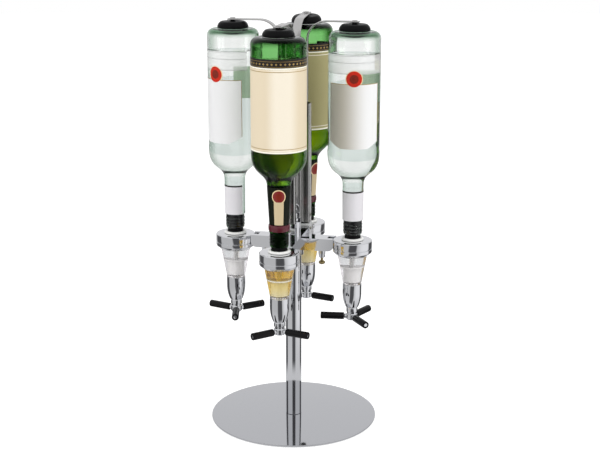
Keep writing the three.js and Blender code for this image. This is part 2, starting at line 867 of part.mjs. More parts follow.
function bottle(form) {
  const rimRadius = form.bodyRadius - form.heelRadius;
  const finishTop = bottleMouth + bottleFinishHeight;
  const ringTop = finishTop + form.ringHeight;
  const neckTop = bottleMouth + form.neckHeight;
  const shoulderTop = neckTop + form.shoulderHeight;
  const heelStart = bottleBase - form.heelRadius;
  const shoulder = (neck, body, steps) => curve(
    [neck, neckTop],
    [neck, neckTop + form.shoulderHeight * form.shoulderFootShare],
    [body, shoulderTop - form.shoulderHeight * form.shoulderTopShare],
    [body, shoulderTop],
    steps,
  );
  const innerNeckRoot = form.neckRootRadius - bottleWall;
  const innerNeckFoot = form.neckFootRadius - bottleWall;
  const innerBody = form.bodyRadius - bottleWall;
  const innerHeel = form.heelRadius - bottleWall;
  const puntTop = bottleBase - bottlePuntDepth;
  return turned([
    [0, puntTop - bottleFloor],
    [rimRadius, bottleBase - bottleFloor],
    [rimRadius + innerHeel, heelStart],
    ...shoulder(innerNeckRoot, innerBody, curveSteps - 1).reverse(),
    [innerNeckRoot, neckTop],
    [innerNeckFoot, ringTop + bottleWall],
    [bottleMouthRadius, finishTop],
    [bottleMouthRadius, bottleMouth],
    [form.finishRadius, bottleMouth],
    [form.finishRadius, finishTop],
    [form.ringRadius, finishTop],
    [form.ringRadius, ringTop],
    [form.neckFootRadius, ringTop],
    [form.neckRootRadius, neckTop],
    ...shoulder(form.neckRootRadius, form.bodyRadius, curveSteps + 1),
    ...arc([rimRadius, heelStart], form.heelRadius, 0, Math.PI / 2, curveSteps - 1),
    [bottlePuntRadius, bottleBase],
    [0, puntTop],
  ], bodySides);
}

// One station: rail and clamp on the head, and the optic with its bottle on its own axis.
function stationGroup(station) {
  const at = (part) => `${part}_${station.name}`;
  const group = new THREE.Group();
  group.rotation.z = THREE.MathUtils.degToRad(station.angle);
  group.add(piece(at('rail'), rail(), finishes.springSteel));
  group.add(piece(at('clamp_arm'), clampArm(station), finishes.springSteel));

  const place = clampPlace(station);
  const pad = piece(at('clamp_pad'), clampPad(), finishes.blackRubber);
  pad.rotation.y = -place.pitch;
  pad.position.set(place.padX, 0, place.padZ);
  group.add(pad);

  const screw = piece(at('thumb_screw'), thumbScrew(), finishes.nickelBrass);
  screw.position.x = thumbScrewPlace;
  group.add(screw);

  const optic = new THREE.Group();
  optic.position.x = opticRadius;
  const glass = station.bottle === greenBottle ? finishes.greenGlass : finishes.clearGlass;
  optic.add(piece(at('collar'), collar(), finishes.chrome));
  optic.add(piece(at('seat_ring'), seatRing(), finishes.whitePlastic));
  optic.add(piece(at('stopper'), stopper(), finishes.blackRubber));
  optic.add(piece(at('chamber'), chamber(), finishes.clearPlastic));
  optic.add(piece(at('valve_housing'), valveHousing(), finishes.chrome));
  optic.add(piece(at('plunger'), plunger(), finishes.whitePlastic));
  optic.add(piece(at('valve_spring'), valveSpring(), finishes.springSteel));
  optic.add(piece(at('bottle'), bottle(station.bottle), glass));

  const handle = piece(at('lever'), lever(), finishes.blackRubber);
  handle.rotation.z = THREE.MathUtils.degToRad(station.leverAngle - station.angle);
  optic.add(handle);
  group.add(optic);
  return group;
}

const stand = new THREE.Group();
stand.add(piece('base_pad', footPad(), finishes.blackFoam));
stand.add(piece('base_plate', basePlate(), finishes.mirrorPlate));
stand.add(piece('base_screw', baseScrew(), finishes.nickelBrass));
stand.add(piece('post', post(), finishes.chrome));
stand.add(piece('spindle', spindle(), finishes.springSteel));
stand.add(piece('cap_nut', capNut(), finishes.chrome));

const head = new THREE.Group();
head.add(piece('hub_bush', hubBush(), finishes.whitePlastic));
head.add(piece('hub', hub(), finishes.chrome));
for (const station of stations) head.add(stationGroup(station));
stand.add(head);

export default stand;
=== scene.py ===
# Rotary spirit dispenser: a mirror base and a post carry a turning head with four optics,
# each under an upside-down bottle. Sizes are in millimetres and meshes are written in metres.

import logging
import math
from dataclasses import dataclass
from enum import Enum
from typing import Any, Callable, Sequence

import bmesh
import bpy
from bmesh.types import BMesh
from bpy.types import GeometryNodeTree, Material, Mesh, Node, NodeSocket, NodeTree, Object
from mathutils import Matrix, Vector


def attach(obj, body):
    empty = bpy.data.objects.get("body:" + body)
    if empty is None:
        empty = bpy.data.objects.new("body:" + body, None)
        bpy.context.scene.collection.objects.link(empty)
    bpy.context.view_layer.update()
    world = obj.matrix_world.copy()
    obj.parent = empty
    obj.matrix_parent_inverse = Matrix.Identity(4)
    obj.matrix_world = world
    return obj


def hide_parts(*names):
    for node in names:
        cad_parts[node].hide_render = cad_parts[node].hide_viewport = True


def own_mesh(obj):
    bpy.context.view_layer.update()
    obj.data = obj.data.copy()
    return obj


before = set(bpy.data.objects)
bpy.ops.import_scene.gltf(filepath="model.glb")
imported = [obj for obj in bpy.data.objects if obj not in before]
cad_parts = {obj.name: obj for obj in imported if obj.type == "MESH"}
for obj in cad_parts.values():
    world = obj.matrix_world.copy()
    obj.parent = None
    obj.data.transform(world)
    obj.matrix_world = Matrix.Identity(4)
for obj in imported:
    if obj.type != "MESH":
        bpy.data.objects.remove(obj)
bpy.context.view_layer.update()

MM = 0.001
# Directions are in degrees about Z, from +X: where the photograph was taken from.
VIEW_AZIMUTH = 12.77
TOWARDS_CAMERA = VIEW_AZIMUTH - 90.0
# Heights between which the thick foot of a bottle takes its darker tone.
FOOT_TONE = (554.0, 564.0)
# Edges sharper than these angles are bevelled, or stay sharp in the shading.
BEVEL_ANGLE = 38.0
SHARP_ANGLE = 34.0
# How far a cutter runs past what it cuts, and how far joined solids sink into each other.
OVERRUN = 2.0
SINK = 0.3
# Gap between the glass and a ring stuck round it, and the place of a printed or foil line.
STUCK = 0.03
LINE_LIFT = 0.2
LINE_THICKNESS = 0.06
# Tint of the light that clear things pass on to what stands behind them.
PASSED_LIGHT = "#F8F8F8"
Point = tuple[float, ...]
Span = tuple[float, float]
log = logging.getLogger("dispenser")


class Glass(Enum):
    """The two kinds of bottle on the stand."""

    CLEAR = "clear_glass"
    GREEN = "green_glass"


@dataclass(frozen=True)
class Station:
    """One arm of the head and how its bottle and lever stand at rest."""

    name: str
    angle: float
    glass: Glass
    facing: float
    lever_angle: float
    pitch: float = 0.0
    optic_radius: float = 85.5

    def at(self, part: str) -> str:
        """Name of this station's copy of a part."""
        return f"{part}_{self.name}"

    def arm(self) -> Matrix:
        """Placement of what is drawn along +X from the stand's axis."""
        return Matrix.Rotation(math.radians(self.angle), 4, "Z")

    def optic(self, turn: float | None = None) -> Matrix:
        """Placement of what is drawn about the optic's own axis.

        Args:
            turn: World direction that the drawing's +X faces, in degrees, or None for outwards.

        Returns:
            The matrix, in millimetres.
        """
        centre = self.arm() @ Vector((self.optic_radius, 0.0, 0.0))
        facing = self.angle if turn is None else turn
        return Matrix.Translation(centre) @ Matrix.Rotation(math.radians(facing), 4, "Z")


STATIONS = (
    Station("right", 0.0, Glass.CLEAR, TOWARDS_CAMERA - 2.5, 187.0),
    Station("back", 90.0, Glass.GREEN, TOWARDS_CAMERA + 57.0, 105.0, pitch=5.0),
    Station("left", 180.0, Glass.CLEAR, TOWARDS_CAMERA - 41.0, 43.0),
    Station("front", 270.0, Glass.GREEN, TOWARDS_CAMERA - 1.0, 106.0),
)


# Colour and node helpers


def linear(code: str) -> tuple[float, float, float, float]:
    """Turns an sRGB hex colour to linear.

    Args:
        code: Colour such as "#C0FFEE".

    Returns:
        Linear red, green, blue and an alpha of 1.
    """
    parts = [int(code[i:i + 2], 16) / 255 for i in (1, 3, 5)]
    red, green, blue = (v / 12.92 if v <= 0.04045 else ((v + 0.055) / 1.055) ** 2.4 for v in parts)
    return (red, green, blue, 1.0)


def add_node(tree: NodeTree, kind: str, settings: dict[str | int, Any] | None = None,
             links: dict[str | int, NodeSocket] | None = None) -> Node:
    """Adds one node with its settings and incoming links.

    Args:
        tree: Node tree to add to.
        kind: Blender's type name of the node.
        settings: Attribute, input name or input number to value.
        links: Input name or number to the socket that feeds it.

    Returns:
        The new node.
    """
    node = tree.nodes.new(kind)
    for key, value in (settings or {}).items():
        if isinstance(key, int) or key in node.inputs:
            node.inputs[key].default_value = value
        else:
            setattr(node, key, value)
    for key, source in (links or {}).items():
        tree.links.new(source, node.inputs[key])
    return node


# Finishes


@dataclass(frozen=True)
class Finish:
    """A real material and how its surface was made, with any painted light or shade across a label's sides.
    """

    name: str
    colour: str
    roughness: float = 0.3
    metallic: float = 0.0
    ior: float = 1.5
    coat: float = 0.0
    grain_mm: tuple[float, float, float] = (6.0, 6.0, 6.0)
    roughness_spread: float = 0.04
    relief_mm: float = 0.0
    mottle: str | None = None
    specular: float = 0.5
    transmission: float = 0.0
    absorb: str | None = None
    density: float = 0.0
    alpha: float = 1.0
    translucency: float = 0.0
    # Painted light or shade across a label sheet: the colour at its sides, and where the blend lies.
    painted_side_shading: str | None = None
    painted_side_span: tuple[float, float, float] = (0.5, 0.1, 0.46)
    edge_tone: str | None = None
    base_tone: str | None = None
    reflection: str = "#FFFFFF"

    def build(self) -> Material:
        """Makes the Blender material of this finish on first use.

        Returns:
            The material, shared by every piece with this finish.
        """
        found = bpy.data.materials.get(self.name)
        if found:
            return found
        material = bpy.data.materials.new(self.name)
        material.use_nodes = True
        tree = material.node_tree
        tree.nodes.clear()
        place = add_node(tree, "ShaderNodeTexCoord")
        scale = tuple(1000.0 / size for size in self.grain_mm)
        mapping = add_node(tree, "ShaderNodeMapping", {"Scale": scale},
                           {"Vector": place.outputs["Object"]})
        grain = add_node(tree, "ShaderNodeTexNoise", {"Scale": 1.0, "Detail": 3.0},
                         {"Vector": mapping.outputs["Vector"]})
        spread = add_node(tree, "ShaderNodeMapRange", {
            "To Min": max(0.0, self.roughness - self.roughness_spread),
            "To Max": self.roughness + self.roughness_spread,
        }, {"Value": grain.outputs["Fac"]})
        shader = add_node(tree, "ShaderNodeBsdfPrincipled", {
            "Base Color": linear(self.colour),
            "Metallic": self.metallic,
            "IOR": self.ior,
            "Coat Weight": self.coat,
            "Coat Roughness": 0.05,
            "Specular IOR Level": self.specular,
            "Specular Tint": linear(self.reflection),
            "Transmission Weight": self.transmission,
            "Alpha": self.alpha,
        }, {"Roughness": spread.outputs["Result"]})
        tone = self.add_tone(tree, grain.outputs["Fac"], place.outputs["Object"])
        if tone:
            tree.links.new(tone, shader.inputs["Base Color"])
        if self.relief_mm:
            relief = add_node(tree, "ShaderNodeBump", {
                "Strength": 1.0, "Distance": self.relief_mm * MM,
            }, {"Height": grain.outputs["Fac"]})
            tree.links.new(relief.outputs["Normal"], shader.inputs["Normal"])
        surface = self.add_passage(tree, shader.outputs["BSDF"])
        out = add_node(tree, "ShaderNodeOutputMaterial", {}, {"Surface": surface})
        if self.absorb:
            volume = add_node(tree, "ShaderNodeVolumeAbsorption",
                              {"Color": linear(self.absorb), "Density": self.density})
            tree.links.new(volume.outputs["Volume"], out.inputs["Volume"])
        return material

    def add_tone(self, tree: NodeTree, grain: NodeSocket, place: NodeSocket) -> NodeSocket | None:
        """Adds the uneven tone of the surface, and any painted light or shade across its sides.

        Args:
            tree: Node tree to add to.
            grain: Noise that mixes the two tones.
            place: Place on the object.

        Returns:
            Socket of the colour, or None where it is even.
        """
        if not (self.mottle or self.edge_tone):
            return None
        tones = add_node(tree, "ShaderNodeMix", {
            "data_type": "RGBA", 6: linear(self.colour), 7: linear(self.mottle or self.colour)}, {0: grain})
        tone = tones.outputs[2]
        # Painted light or shade, by the distance across the sheet from its middle share.
        if self.painted_side_shading:
            middle, near, far = self.painted_side_span
            sheet = add_node(tree, "ShaderNodeUVMap", {"uv_map": "sheet"})
            along = add_node(tree, "ShaderNodeSeparateXYZ", {}, {"Vector": sheet.outputs["UV"]})
            off = add_node(tree, "ShaderNodeMath", {"operation": "SUBTRACT", 1: middle},
                           {0: along.outputs["X"]})
            size = add_node(tree, "ShaderNodeMath", {"operation": "ABSOLUTE"}, {0: off.outputs["Value"]})
            tone = self.blend(tree, tone, self.painted_side_shading, size.outputs["Value"], near, far)
        if self.edge_tone:
            turned = add_node(tree, "ShaderNodeLayerWeight", {"Blend": 0.5})
            tone = self.blend(tree, tone, self.edge_tone, turned.outputs["Facing"], 0.15, 0.6)
        if self.base_tone:
            parts = add_node(tree, "ShaderNodeSeparateXYZ", {}, {"Vector": place})
            start, end = (height * MM for height in FOOT_TONE)
            tone = self.blend(tree, tone, self.base_tone, parts.outputs["Z"], start, end)
        return tone

    def blend(self, tree: NodeTree, tone: NodeSocket, other: str,
              value: NodeSocket, near: float, far: float) -> NodeSocket:
        """Blends a tone softly into another colour.

        Args:
            tree: Node tree to add to.
            tone: Socket of the tone to start from.
            other: Hex colour to end at.
            value: Socket that drives the blend.
            near: Value where the blend starts.
            far: Value where it ends.

        Returns:
            Socket of the blended colour.
        """
        share = add_node(tree, "ShaderNodeMapRange", {
            "interpolation_type": "SMOOTHSTEP", "From Min": near, "From Max": far,
        }, {"Value": value})
        mixed = add_node(tree, "ShaderNodeMix", {"data_type": "RGBA", 7: linear(other)},
                         {0: share.outputs["Result"], 6: tone})
        return mixed.outputs[2]

    def add_passage(self, tree: NodeTree, surface: NodeSocket) -> NodeSocket:
        """Lets light through: paper glows a little, and glass lights what stands behind it.

        Args:
            tree: Node tree to add to.
            surface: Socket of the surface so far.

        Returns:
            Socket of the whole surface.
        """
        if self.translucency:
            backlit = add_node(tree, "ShaderNodeBsdfTranslucent", {"Color": linear(self.colour)})
            paper = add_node(tree, "ShaderNodeMixShader", {0: self.translucency},
                             {1: surface, 2: backlit.outputs[0]})
            surface = paper.outputs[0]
        if self.transmission:
            ray = add_node(tree, "ShaderNodeLightPath")
            soft = add_node(tree, "ShaderNodeMath", {"operation": "MAXIMUM"}, {
                0: ray.outputs["Is Shadow Ray"], 1: ray.outputs["Is Diffuse Ray"]})
            straight = add_node(tree, "ShaderNodeBsdfTransparent", {"Color": linear(PASSED_LIGHT)})
            glass = add_node(tree, "ShaderNodeMixShader", {}, {
                0: soft.outputs["Value"], 1: surface, 2: straight.outputs[0]})
            surface = glass.outputs[0]
        return surface


# Chrome plate on turned brass and steel: near mirror, with faint polishing haze.
CHROME = Finish("chrome_plate", "#E4E5E7", 0.06, 1.0, grain_mm=(9.0, 9.0, 9.0),
                roughness_spread=0.025, relief_mm=0.0004)
# Mirror-polished steel sheet: greyer than chrome, the haze lies in wide soft patches.
MIRROR = Finish("polished_steel_plate", "#C6C7CA", 0.05, 1.0, grain_mm=(45.0, 45.0, 20.0),
                roughness_spread=0.02)
# Cold-rolled stainless strip: fine drawn lines along its length blur what it reflects.
ROLLED = Finish("rolled_stainless_strip", "#C9C8C6", 0.22, 1.0, grain_mm=(0.8, 0.8, 60.0),
                roughness_spread=0.08, relief_mm=0.002)
# Zinc-plated screws: dull grey with the faint mottle of the passivation bath.
ZINC = Finish("zinc_plated_steel", "#A9A59B", 0.4, 1.0, grain_mm=(2.0, 2.0, 2.0))
# Turned brass under worn nickel: warm, with fine lathe marks across the axis.
BRASS = Finish("nickelled_brass", "#B9A778", 0.26, 1.0, grain_mm=(4.0, 4.0, 0.5),
               roughness_spread=0.06, relief_mm=0.003, mottle="#9A8C66")
# Moulded black rubber: dull, with the fine texture of a spark-eroded mould.
RUBBER = Finish("moulded_black_rubber", "#070708", 0.4, grain_mm=(0.7, 0.7, 0.7), specular=0.1,
                roughness_spread=0.08, relief_mm=0.02, mottle="#0E0E0F")
# Die-cut sheet of closed-cell foam: matt, with open cells at the cut face.
FOAM = Finish("black_cell_foam", "#161617", 0.9, grain_mm=(0.9, 0.9, 0.9), specular=0.2, relief_mm=0.1)
# Dip-moulded vinyl sleeve: black and glossy, slightly uneven along its length.
VINYL = Finish("black_vinyl_sleeve", "#070708", 0.2, grain_mm=(5.0, 5.0, 5.0), specular=0.2,
               roughness_spread=0.06, relief_mm=0.02)
# Turned and moulded acetal: opaque white, waxy sheen, hardly any texture.
ACETAL = Finish("white_acetal", "#F4F4F2", 0.32, ior=1.48, grain_mm=(1.2, 1.2, 1.2),
                roughness_spread=0.05, relief_mm=0.004, mottle="#EEEEEB")
# Injection-moulded polycarbonate: clear, with slow flow waves in the wall.
CLEAR_PLASTIC = Finish("clear_polycarbonate", "#FBF8FA", 0.1, ior=1.5, grain_mm=(7.0, 7.0, 7.0),
                       roughness_spread=0.04, relief_mm=0.01, transmission=1.0,
                       absorb="#D6CCD0", density=4.0)
# Blown flint glass: faint green in thick places, with the slow waves of a blow mould.
CLEAR_GLASS = Finish("flint_bottle_glass", "#FFFFFF", 0.01, ior=1.5, grain_mm=(14.0, 14.0, 30.0),
                     roughness_spread=0.01, relief_mm=0.05, transmission=1.0,
                     absorb="#89A791", density=28.0, edge_tone="#CBD8CF", base_tone="#6F9A78",
                     reflection="#DADADA")
# Green bottle glass: colour sits in the thickness, so edges go nearly black.
GREEN_GLASS = Finish("green_bottle_glass", "#FFFFFF", 0.01, ior=1.5, grain_mm=(14.0, 14.0, 30.0),
                     roughness_spread=0.01, relief_mm=0.12, transmission=1.0,
                     absorb="#7AD65C", density=370.0, edge_tone="#4A7A30", base_tone="#12240F",
                     reflection="#3C3C3C")
# Clear spirit: water-white, it only bends what stands behind it.
SPIRIT = Finish("clear_spirit", "#FFFFFF", 0.0, ior=1.36, roughness_spread=0.0,
                transmission=1.0, absorb="#E6F0EC", density=1.5)
# Whisky: pale by the inch, so the full bottle needs less colour than the shallow measure.
WHISKY = Finish("amber_spirit", "#FFFFFF", 0.0, ior=1.36, roughness_spread=0.0,
                transmission=1.0, absorb="#F6E943", density=80.0)
MEASURE = Finish("amber_measure", "#FFFFFF", 0.0, ior=1.36, roughness_spread=0.0,
                 transmission=1.0, absorb="#F8E53C", density=95.0)
# Uncoated cream label stock: short fibres, matt, with painted shade darkening it towards its sides, where
# they turn away from the light.
CREAM_PAPER = Finish("cream_label_paper", "#FAF1DF", 0.55, grain_mm=(1.1, 1.1, 3.0),
                     roughness_spread=0.06, relief_mm=0.006, mottle="#F6ECD8", translucency=0.1,
                     painted_side_shading="#E7D8BC", painted_side_span=(0.553, 0.06, 0.2))
# Cream label stock painted dark olive: painted shade on the label that the far green bottle turns to the
# front, which the other bottles keep from the light.
SHADED_CREAM_PAPER = Finish("shaded_cream_label_paper", "#B0A877", 0.5, grain_mm=(1.1, 1.1, 3.0),
                     roughness_spread=0.06, relief_mm=0.006, mottle="#A69E6C")
# Silver-white label stock, painted lighter towards its right side as painted light, where the front bottle
# keeps light off it.
SILVER_PAPER = Finish("silver_white_label_paper", "#F6F6F6", 0.42, grain_mm=(1.2, 1.2, 3.0),
                      roughness_spread=0.06, relief_mm=0.005, mottle="#F1F1F2", translucency=0.25,
                      painted_side_shading="#FFFFFF", painted_side_span=(0.0, 0.5, 1.0))
# Copy of the silver-white stock with painted shade towards its left side, where the front bottle keeps light
# off it.
LEFT_SHADED_SILVER_PAPER = Finish("left_shaded_silver_label_paper", "#FAFAFA", 0.42, grain_mm=(1.2, 1.2, 3.0),
                     roughness_spread=0.06, relief_mm=0.005, mottle="#F6F6F6", translucency=0.2,
                     painted_side_shading="#CFCABE", painted_side_span=(1.0, 0.2, 0.74))
# Coated white paper of the neck label: smoother and cooler than the main label.
NECK_PAPER = Finish("white_neck_label_paper", "#EEECEF", 0.5, grain_mm=(1.1, 1.1, 3.0),
                    roughness_spread=0.06, relief_mm=0.005, mottle="#E7E5E9", translucency=0.2)
# Clear film with a thin white screen print: the drink shows through.
PRINTED_FILM = Finish("printed_clear_film", "#F6F6F6", 0.4, grain_mm=(1.2, 1.2, 3.0),
                      roughness_spread=0.06, mottle="#F2F2F2", alpha=0.3)
# Gum side of the back label, seen through the bottle, its colour painted paler as painted light that stands
# in for the light the front labels keep from it.
LABEL_BACK = Finish("label_gum_side", "#D3E2D0", 0.6, grain_mm=(1.6, 1.6, 1.6), mottle="#D9E7D6",
                    translucency=0.75)
# Bleached border of the cream label, where the print stops short of the edge.
PALE_EDGE = Finish("pale_label_edge", "#FDF8E8", 0.45, grain_mm=(1.1, 1.1, 3.0))
# Black printed band: a full coat of ink with a satin varnish.
DARK_PAPER = Finish("black_label_band", "#201D1A", 0.35, grain_mm=(1.1, 1.1, 2.0), specular=0.25,
                    roughness_spread=0.06, mottle="#282420")
# Dark green varnished paper wrapped round the neck.
NECK_WRAP = Finish("dark_green_neck_wrap", "#0D120A", 0.3, grain_mm=(1.5, 1.5, 4.0), specular=0.12,
                   roughness_spread=0.06, mottle="#151A10")
# Darker cream of the narrow strip down the green bottle's neck.
STRIP_PAPER = Finish("cream_neck_strip", "#CDBB97", 0.5, grain_mm=(1.1, 1.1, 3.0),
                     roughness_spread=0.06, mottle="#C4B08A")
# Hot-stamped gold foil line: metallic, slightly broken by the paper under it.
GOLD_FOIL = Finish("gold_foil_line", "#B99A5C", 0.35, 0.6, grain_mm=(1.0, 1.0, 1.0),
                   roughness_spread=0.08)
# Grey screen-printed line on the clear film.
PRINT_GREY = Finish("grey_printed_line", "#9A9A9A", 0.5, grain_mm=(1.0, 1.0, 1.0))
# Burgundy shrink plastic: thin, slightly wavy where it shrank on the glass.
BURGUNDY = Finish("burgundy_shrink_ring", "#5A1222", 0.28, grain_mm=(2.0, 2.0, 2.0),
                  roughness_spread=0.06, mottle="#4A0E1A", coat=0.2)
# Embossed paper seals: red or dark red field, darker heart and a cream-gold rim.
SEAL_RED = Finish("red_seal", "#DC2A0C", 0.35, grain_mm=(2.4, 2.4, 2.4), relief_mm=0.12,
                  mottle="#A01806", specular=0.3)
SEAL_DARK = Finish("dark_red_seal", "#8B1210", 0.35, grain_mm=(3.0, 3.0, 3.0), relief_mm=0.12,
                   mottle="#6A0D0C", coat=0.2)
SEAL_HEART = Finish("seal_heart", "#A02C12", 0.35, grain_mm=(1.6, 1.6, 1.6), relief_mm=0.15,
                    mottle="#340A06", specular=0.3)
SEAL_RIM = Finish("cream_gold_seal_rim", "#F2DFB4", 0.4, grain_mm=(2.0, 2.0, 2.0),
                  mottle="#E6C890")


# Outlines


def rounded(corners: Sequence[Point], closed: bool = False, steps: int = 5) -> list[Point]:
    """Rounds the corners of an outline.

    Args:
        corners: (x, y) or (x, y, fillet radius) of each corner, in order.
        closed: Whether the last corner joins the first.
        steps: Straight runs in each fillet.

    Returns:
        The outline's points.
    """
    points: list[Point] = []
    count = len(corners)
    for i, corner in enumerate(corners):
        here = Vector(corner[:2])
        size = corner[2] if len(corner) > 2 else 0.0
        if size <= 0.0 or (not closed and i in (0, count - 1)):
            points.append((here.x, here.y))
            continue
        before = Vector(corners[i - 1][:2]) - here
        after = Vector(corners[(i + 1) % count][:2]) - here
        half = before.angle(after) / 2
        reach = min(size / math.tan(half), 0.49 * before.length, 0.49 * after.length)
        radius = reach * math.tan(half)
        middle = here + (before.normalized() + after.normalized()).normalized() * (radius / math.sin(half))
        first = here + before.normalized() * reach - middle
        last = here + after.normalized() * reach - middle
        start = math.atan2(first.y, first.x)
        sweep = (math.atan2(last.y, last.x) - start + math.pi) % (2 * math.pi) - math.pi
        for step in range(steps + 1):
            angle = start + sweep * step / steps
            points.append((middle.x + radius * math.cos(angle), middle.y + radius * math.sin(angle)))
    return points


def curve(start: Point, pull_start: Point, pull_end: Point, end: Point, steps: int = 18) -> list[Point]:
    """Points of a cubic curve, its ends included.

    Args:
        start: First point.
        pull_start: Handle of the first point.
        pull_end: Handle of the last point.
        end: Last point.
        steps: Straight runs along the curve.

    Returns:
        The points in order.
    """
    points = []
    for step in range(steps + 1):
        t = step / steps
        shares = ((1 - t) ** 3, 3 * t * (1 - t) ** 2, 3 * t * t * (1 - t), t ** 3)
        places = (start, pull_start, pull_end, end)
        points.append(tuple(sum(w * p[k] for w, p in zip(shares, places)) for k in (0, 1)))
    return points


def arc(centre: Point, radius: float, start: float, end: float, steps: int = 10) -> list[Point]:
    """Points of an arc, both ends included.

    Args:
        centre: Middle of the arc.
        radius: Its radius.
        start: Angle of the first point, in degrees.
        end: Angle of the last point, in degrees.
        steps: Straight runs along the arc.

    Returns:
        The points in order.
    """
    angles = (math.radians(start + (end - start) * step / steps) for step in range(steps + 1))
    return [(centre[0] + radius * math.cos(a), centre[1] + radius * math.sin(a)) for a in angles]


def radius_on(outline: Sequence[Point], height: float, otherwise: float) -> float:
    """Finds the radius of a turned outline at a height.

    Args:
        outline: (radius, height) points.
        height: Where to look.
        otherwise: Radius where the outline doesn't reach that height.

    Returns:
        The radius of the first part of the outline that passes the height.
    """
    for low, high in zip(outline, outline[1:]):
        if low[1] <= height <= high[1] and high[1] > low[1]:
            share = (height - low[1]) / (high[1] - low[1])
            return low[0] + (high[0] - low[0]) * share
    return otherwise


# Solids


def to_mesh(name: str, shape: BMesh, place: Matrix | None = None) -> Mesh:
    """Closes a drawing in millimetres into a mesh in metres.

    Args:
        name: Name of the mesh.
        shape: The drawing, freed here.
        place: Where it goes, in millimetres.

    Returns:
        The mesh with its faces pointing out.
    """
    bmesh.ops.remove_doubles(shape, verts=shape.verts, dist=1e-5)
    bmesh.ops.recalc_face_normals(shape, faces=shape.faces)
    shape.transform(Matrix.Scale(MM, 4) @ (place or Matrix()))
    mesh = bpy.data.meshes.new(name)
    shape.to_mesh(mesh)
    shape.free()
    return mesh


def lathe(outline: Sequence[Point], sides: int = 96, closed: bool = False) -> BMesh:
    """Solid of revolution about Z.

    Args:
        outline: (radius, height) points.
        sides: Facets round the axis.
        closed: Whether the outline closes on itself, as a ring's does.

    Returns:
        The solid, in millimetres.
    """
    shape = bmesh.new()
    rings = []
    for radius, height in outline:
        if radius < 1e-6:
            rings.append([shape.verts.new((0.0, 0.0, height))])
            continue
        turns = (2 * math.pi * i / sides for i in range(sides))
        rings.append([shape.verts.new((radius * math.cos(a), radius * math.sin(a), height)) for a in turns])
    pairs = list(zip(rings, rings[1:]))
    if closed:
        pairs.append((rings[-1], rings[0]))
    for low, high in pairs:
        for i in range(sides):
            j = (i + 1) % sides
            loop = (low[i % len(low)], low[j % len(low)], high[j % len(high)], high[i % len(high)])
            corners = list(dict.fromkeys(loop))
            if len(corners) > 2:
                shape.faces.new(corners)
    return shape


def prism(outline: Sequence[Point], low: float, high: float, axis: str = "Z") -> BMesh:
    """Straight prism.

    Args:
        outline: Its section: (x, y) for axis "Z", (x, z) for axis "Y".
        low: Where it starts along the axis.
        high: Where it ends.
        axis: "Z" or "Y".

    Returns:
        The prism, in millimetres.
    """
    shape = bmesh.new()
    ends = []
    for level in (low, high):
        spots = ((x, y, level) if axis == "Z" else (x, level, y) for x, y in outline)
        ends.append([shape.verts.new(spot) for spot in spots])
    shape.faces.new(ends[0])
    shape.faces.new(ends[1])
    for i in range(len(outline)):
        j = (i + 1) % len(outline)
        shape.faces.new((ends[0][i], ends[0][j], ends[1][j], ends[1][i]))
    return shape


def block(x: Point, width: float, z: Point) -> BMesh:
    """Block centred on Y.

    Args:
        x: Its two ends along X.
        width: Its width.
        z: Its two heights.

    Returns:
        The block, in millimetres.
    """
    return prism([(x[0], -width / 2), (x[1], -width / 2), (x[1], width / 2), (x[0], width / 2)], *z)


def shell_patch(grid: Callable[[float, float, float], Point], columns: int, rows: int,
                thickness: float, round_patch: bool = False) -> BMesh:
    """Thin closed sheet laid on a surface.

    Args:
        grid: Point at two shares from 0 to 1 and a height above the surface.
        columns: Steps of the first share.
        rows: Steps of the second share.
        thickness: Thickness of the sheet.
        round_patch: Whether the first share goes right round and the second starts at one point.

    Returns:
        The sheet, in millimetres.
    """
    shape = bmesh.new()
    layers = []
    shares = {}
    for lift in (0.0, thickness):
        layer = []
        for v in range(rows + 1):
            row = [shape.verts.new(grid(u / columns, v / rows, lift)) for u in range(columns + 1)]
            shares.update({vert: (u / columns, v / rows) for u, vert in enumerate(row)})
            layer.append(row)
        layers.append(layer)
    for layer in layers:
        for v in range(rows):
            for u in range(columns):
                shape.faces.new((layer[v][u], layer[v][u + 1], layer[v + 1][u + 1], layer[v + 1][u]))
    under, over = layers
    for u in range(columns):
        shape.faces.new((under[rows][u], under[rows][u + 1], over[rows][u + 1], over[rows][u]))
        if not round_patch:
            shape.faces.new((under[0][u], under[0][u + 1], over[0][u + 1], over[0][u]))
    if not round_patch:
        for v in range(rows):
            for side in (0, columns):
                shape.faces.new((under[v][side], under[v + 1][side], over[v + 1][side], over[v][side]))
    sheet = shape.loops.layers.uv.new("sheet")
    for face in shape.faces:
        for loop in face.loops:
            loop[sheet].uv = shares[loop.vert]
    return shape


def baked(host: Object) -> Mesh:
    """Takes the plain mesh of an object with its modifiers and removes the object.

    Args:
        host: Working object.

    Returns:
        The mesh that its modifiers make.
    """
    depsgraph = bpy.context.evaluated_depsgraph_get()
    mesh = bpy.data.meshes.new_from_object(host.evaluated_get(depsgraph), depsgraph=depsgraph)
    bpy.data.objects.remove(host)
    return mesh


def blank(mesh: Mesh) -> Object:
    """Makes a working object that carries a mesh while modifiers shape it.

    Args:
        mesh: Mesh to carry.

    Returns:
        The working object.
    """
    host = bpy.data.objects.new("work", mesh)
    bpy.context.scene.collection.objects.link(host)
    return host


def combined(base: Mesh, joined: Sequence[Mesh] = (), cut: Sequence[Mesh] = ()) -> Mesh:
    """Joins meshes to a base and cuts others from it.

    Args:
        base: Mesh to start from.
        joined: Meshes to add.
        cut: Meshes to take away afterwards.

    Returns:
        The resulting mesh.
    """
    host = blank(base)
    tools = []
    for operation, meshes in (("UNION", joined), ("DIFFERENCE", cut)):
        for mesh in meshes:
            tool = blank(mesh)
            modifier = host.modifiers.new(operation, "BOOLEAN")
            modifier.operation = operation
            modifier.solver = "EXACT"
            modifier.object = tool
            tools.append(tool)
    result = baked(host)
    for tool in tools:
        bpy.data.objects.remove(tool)
    return result


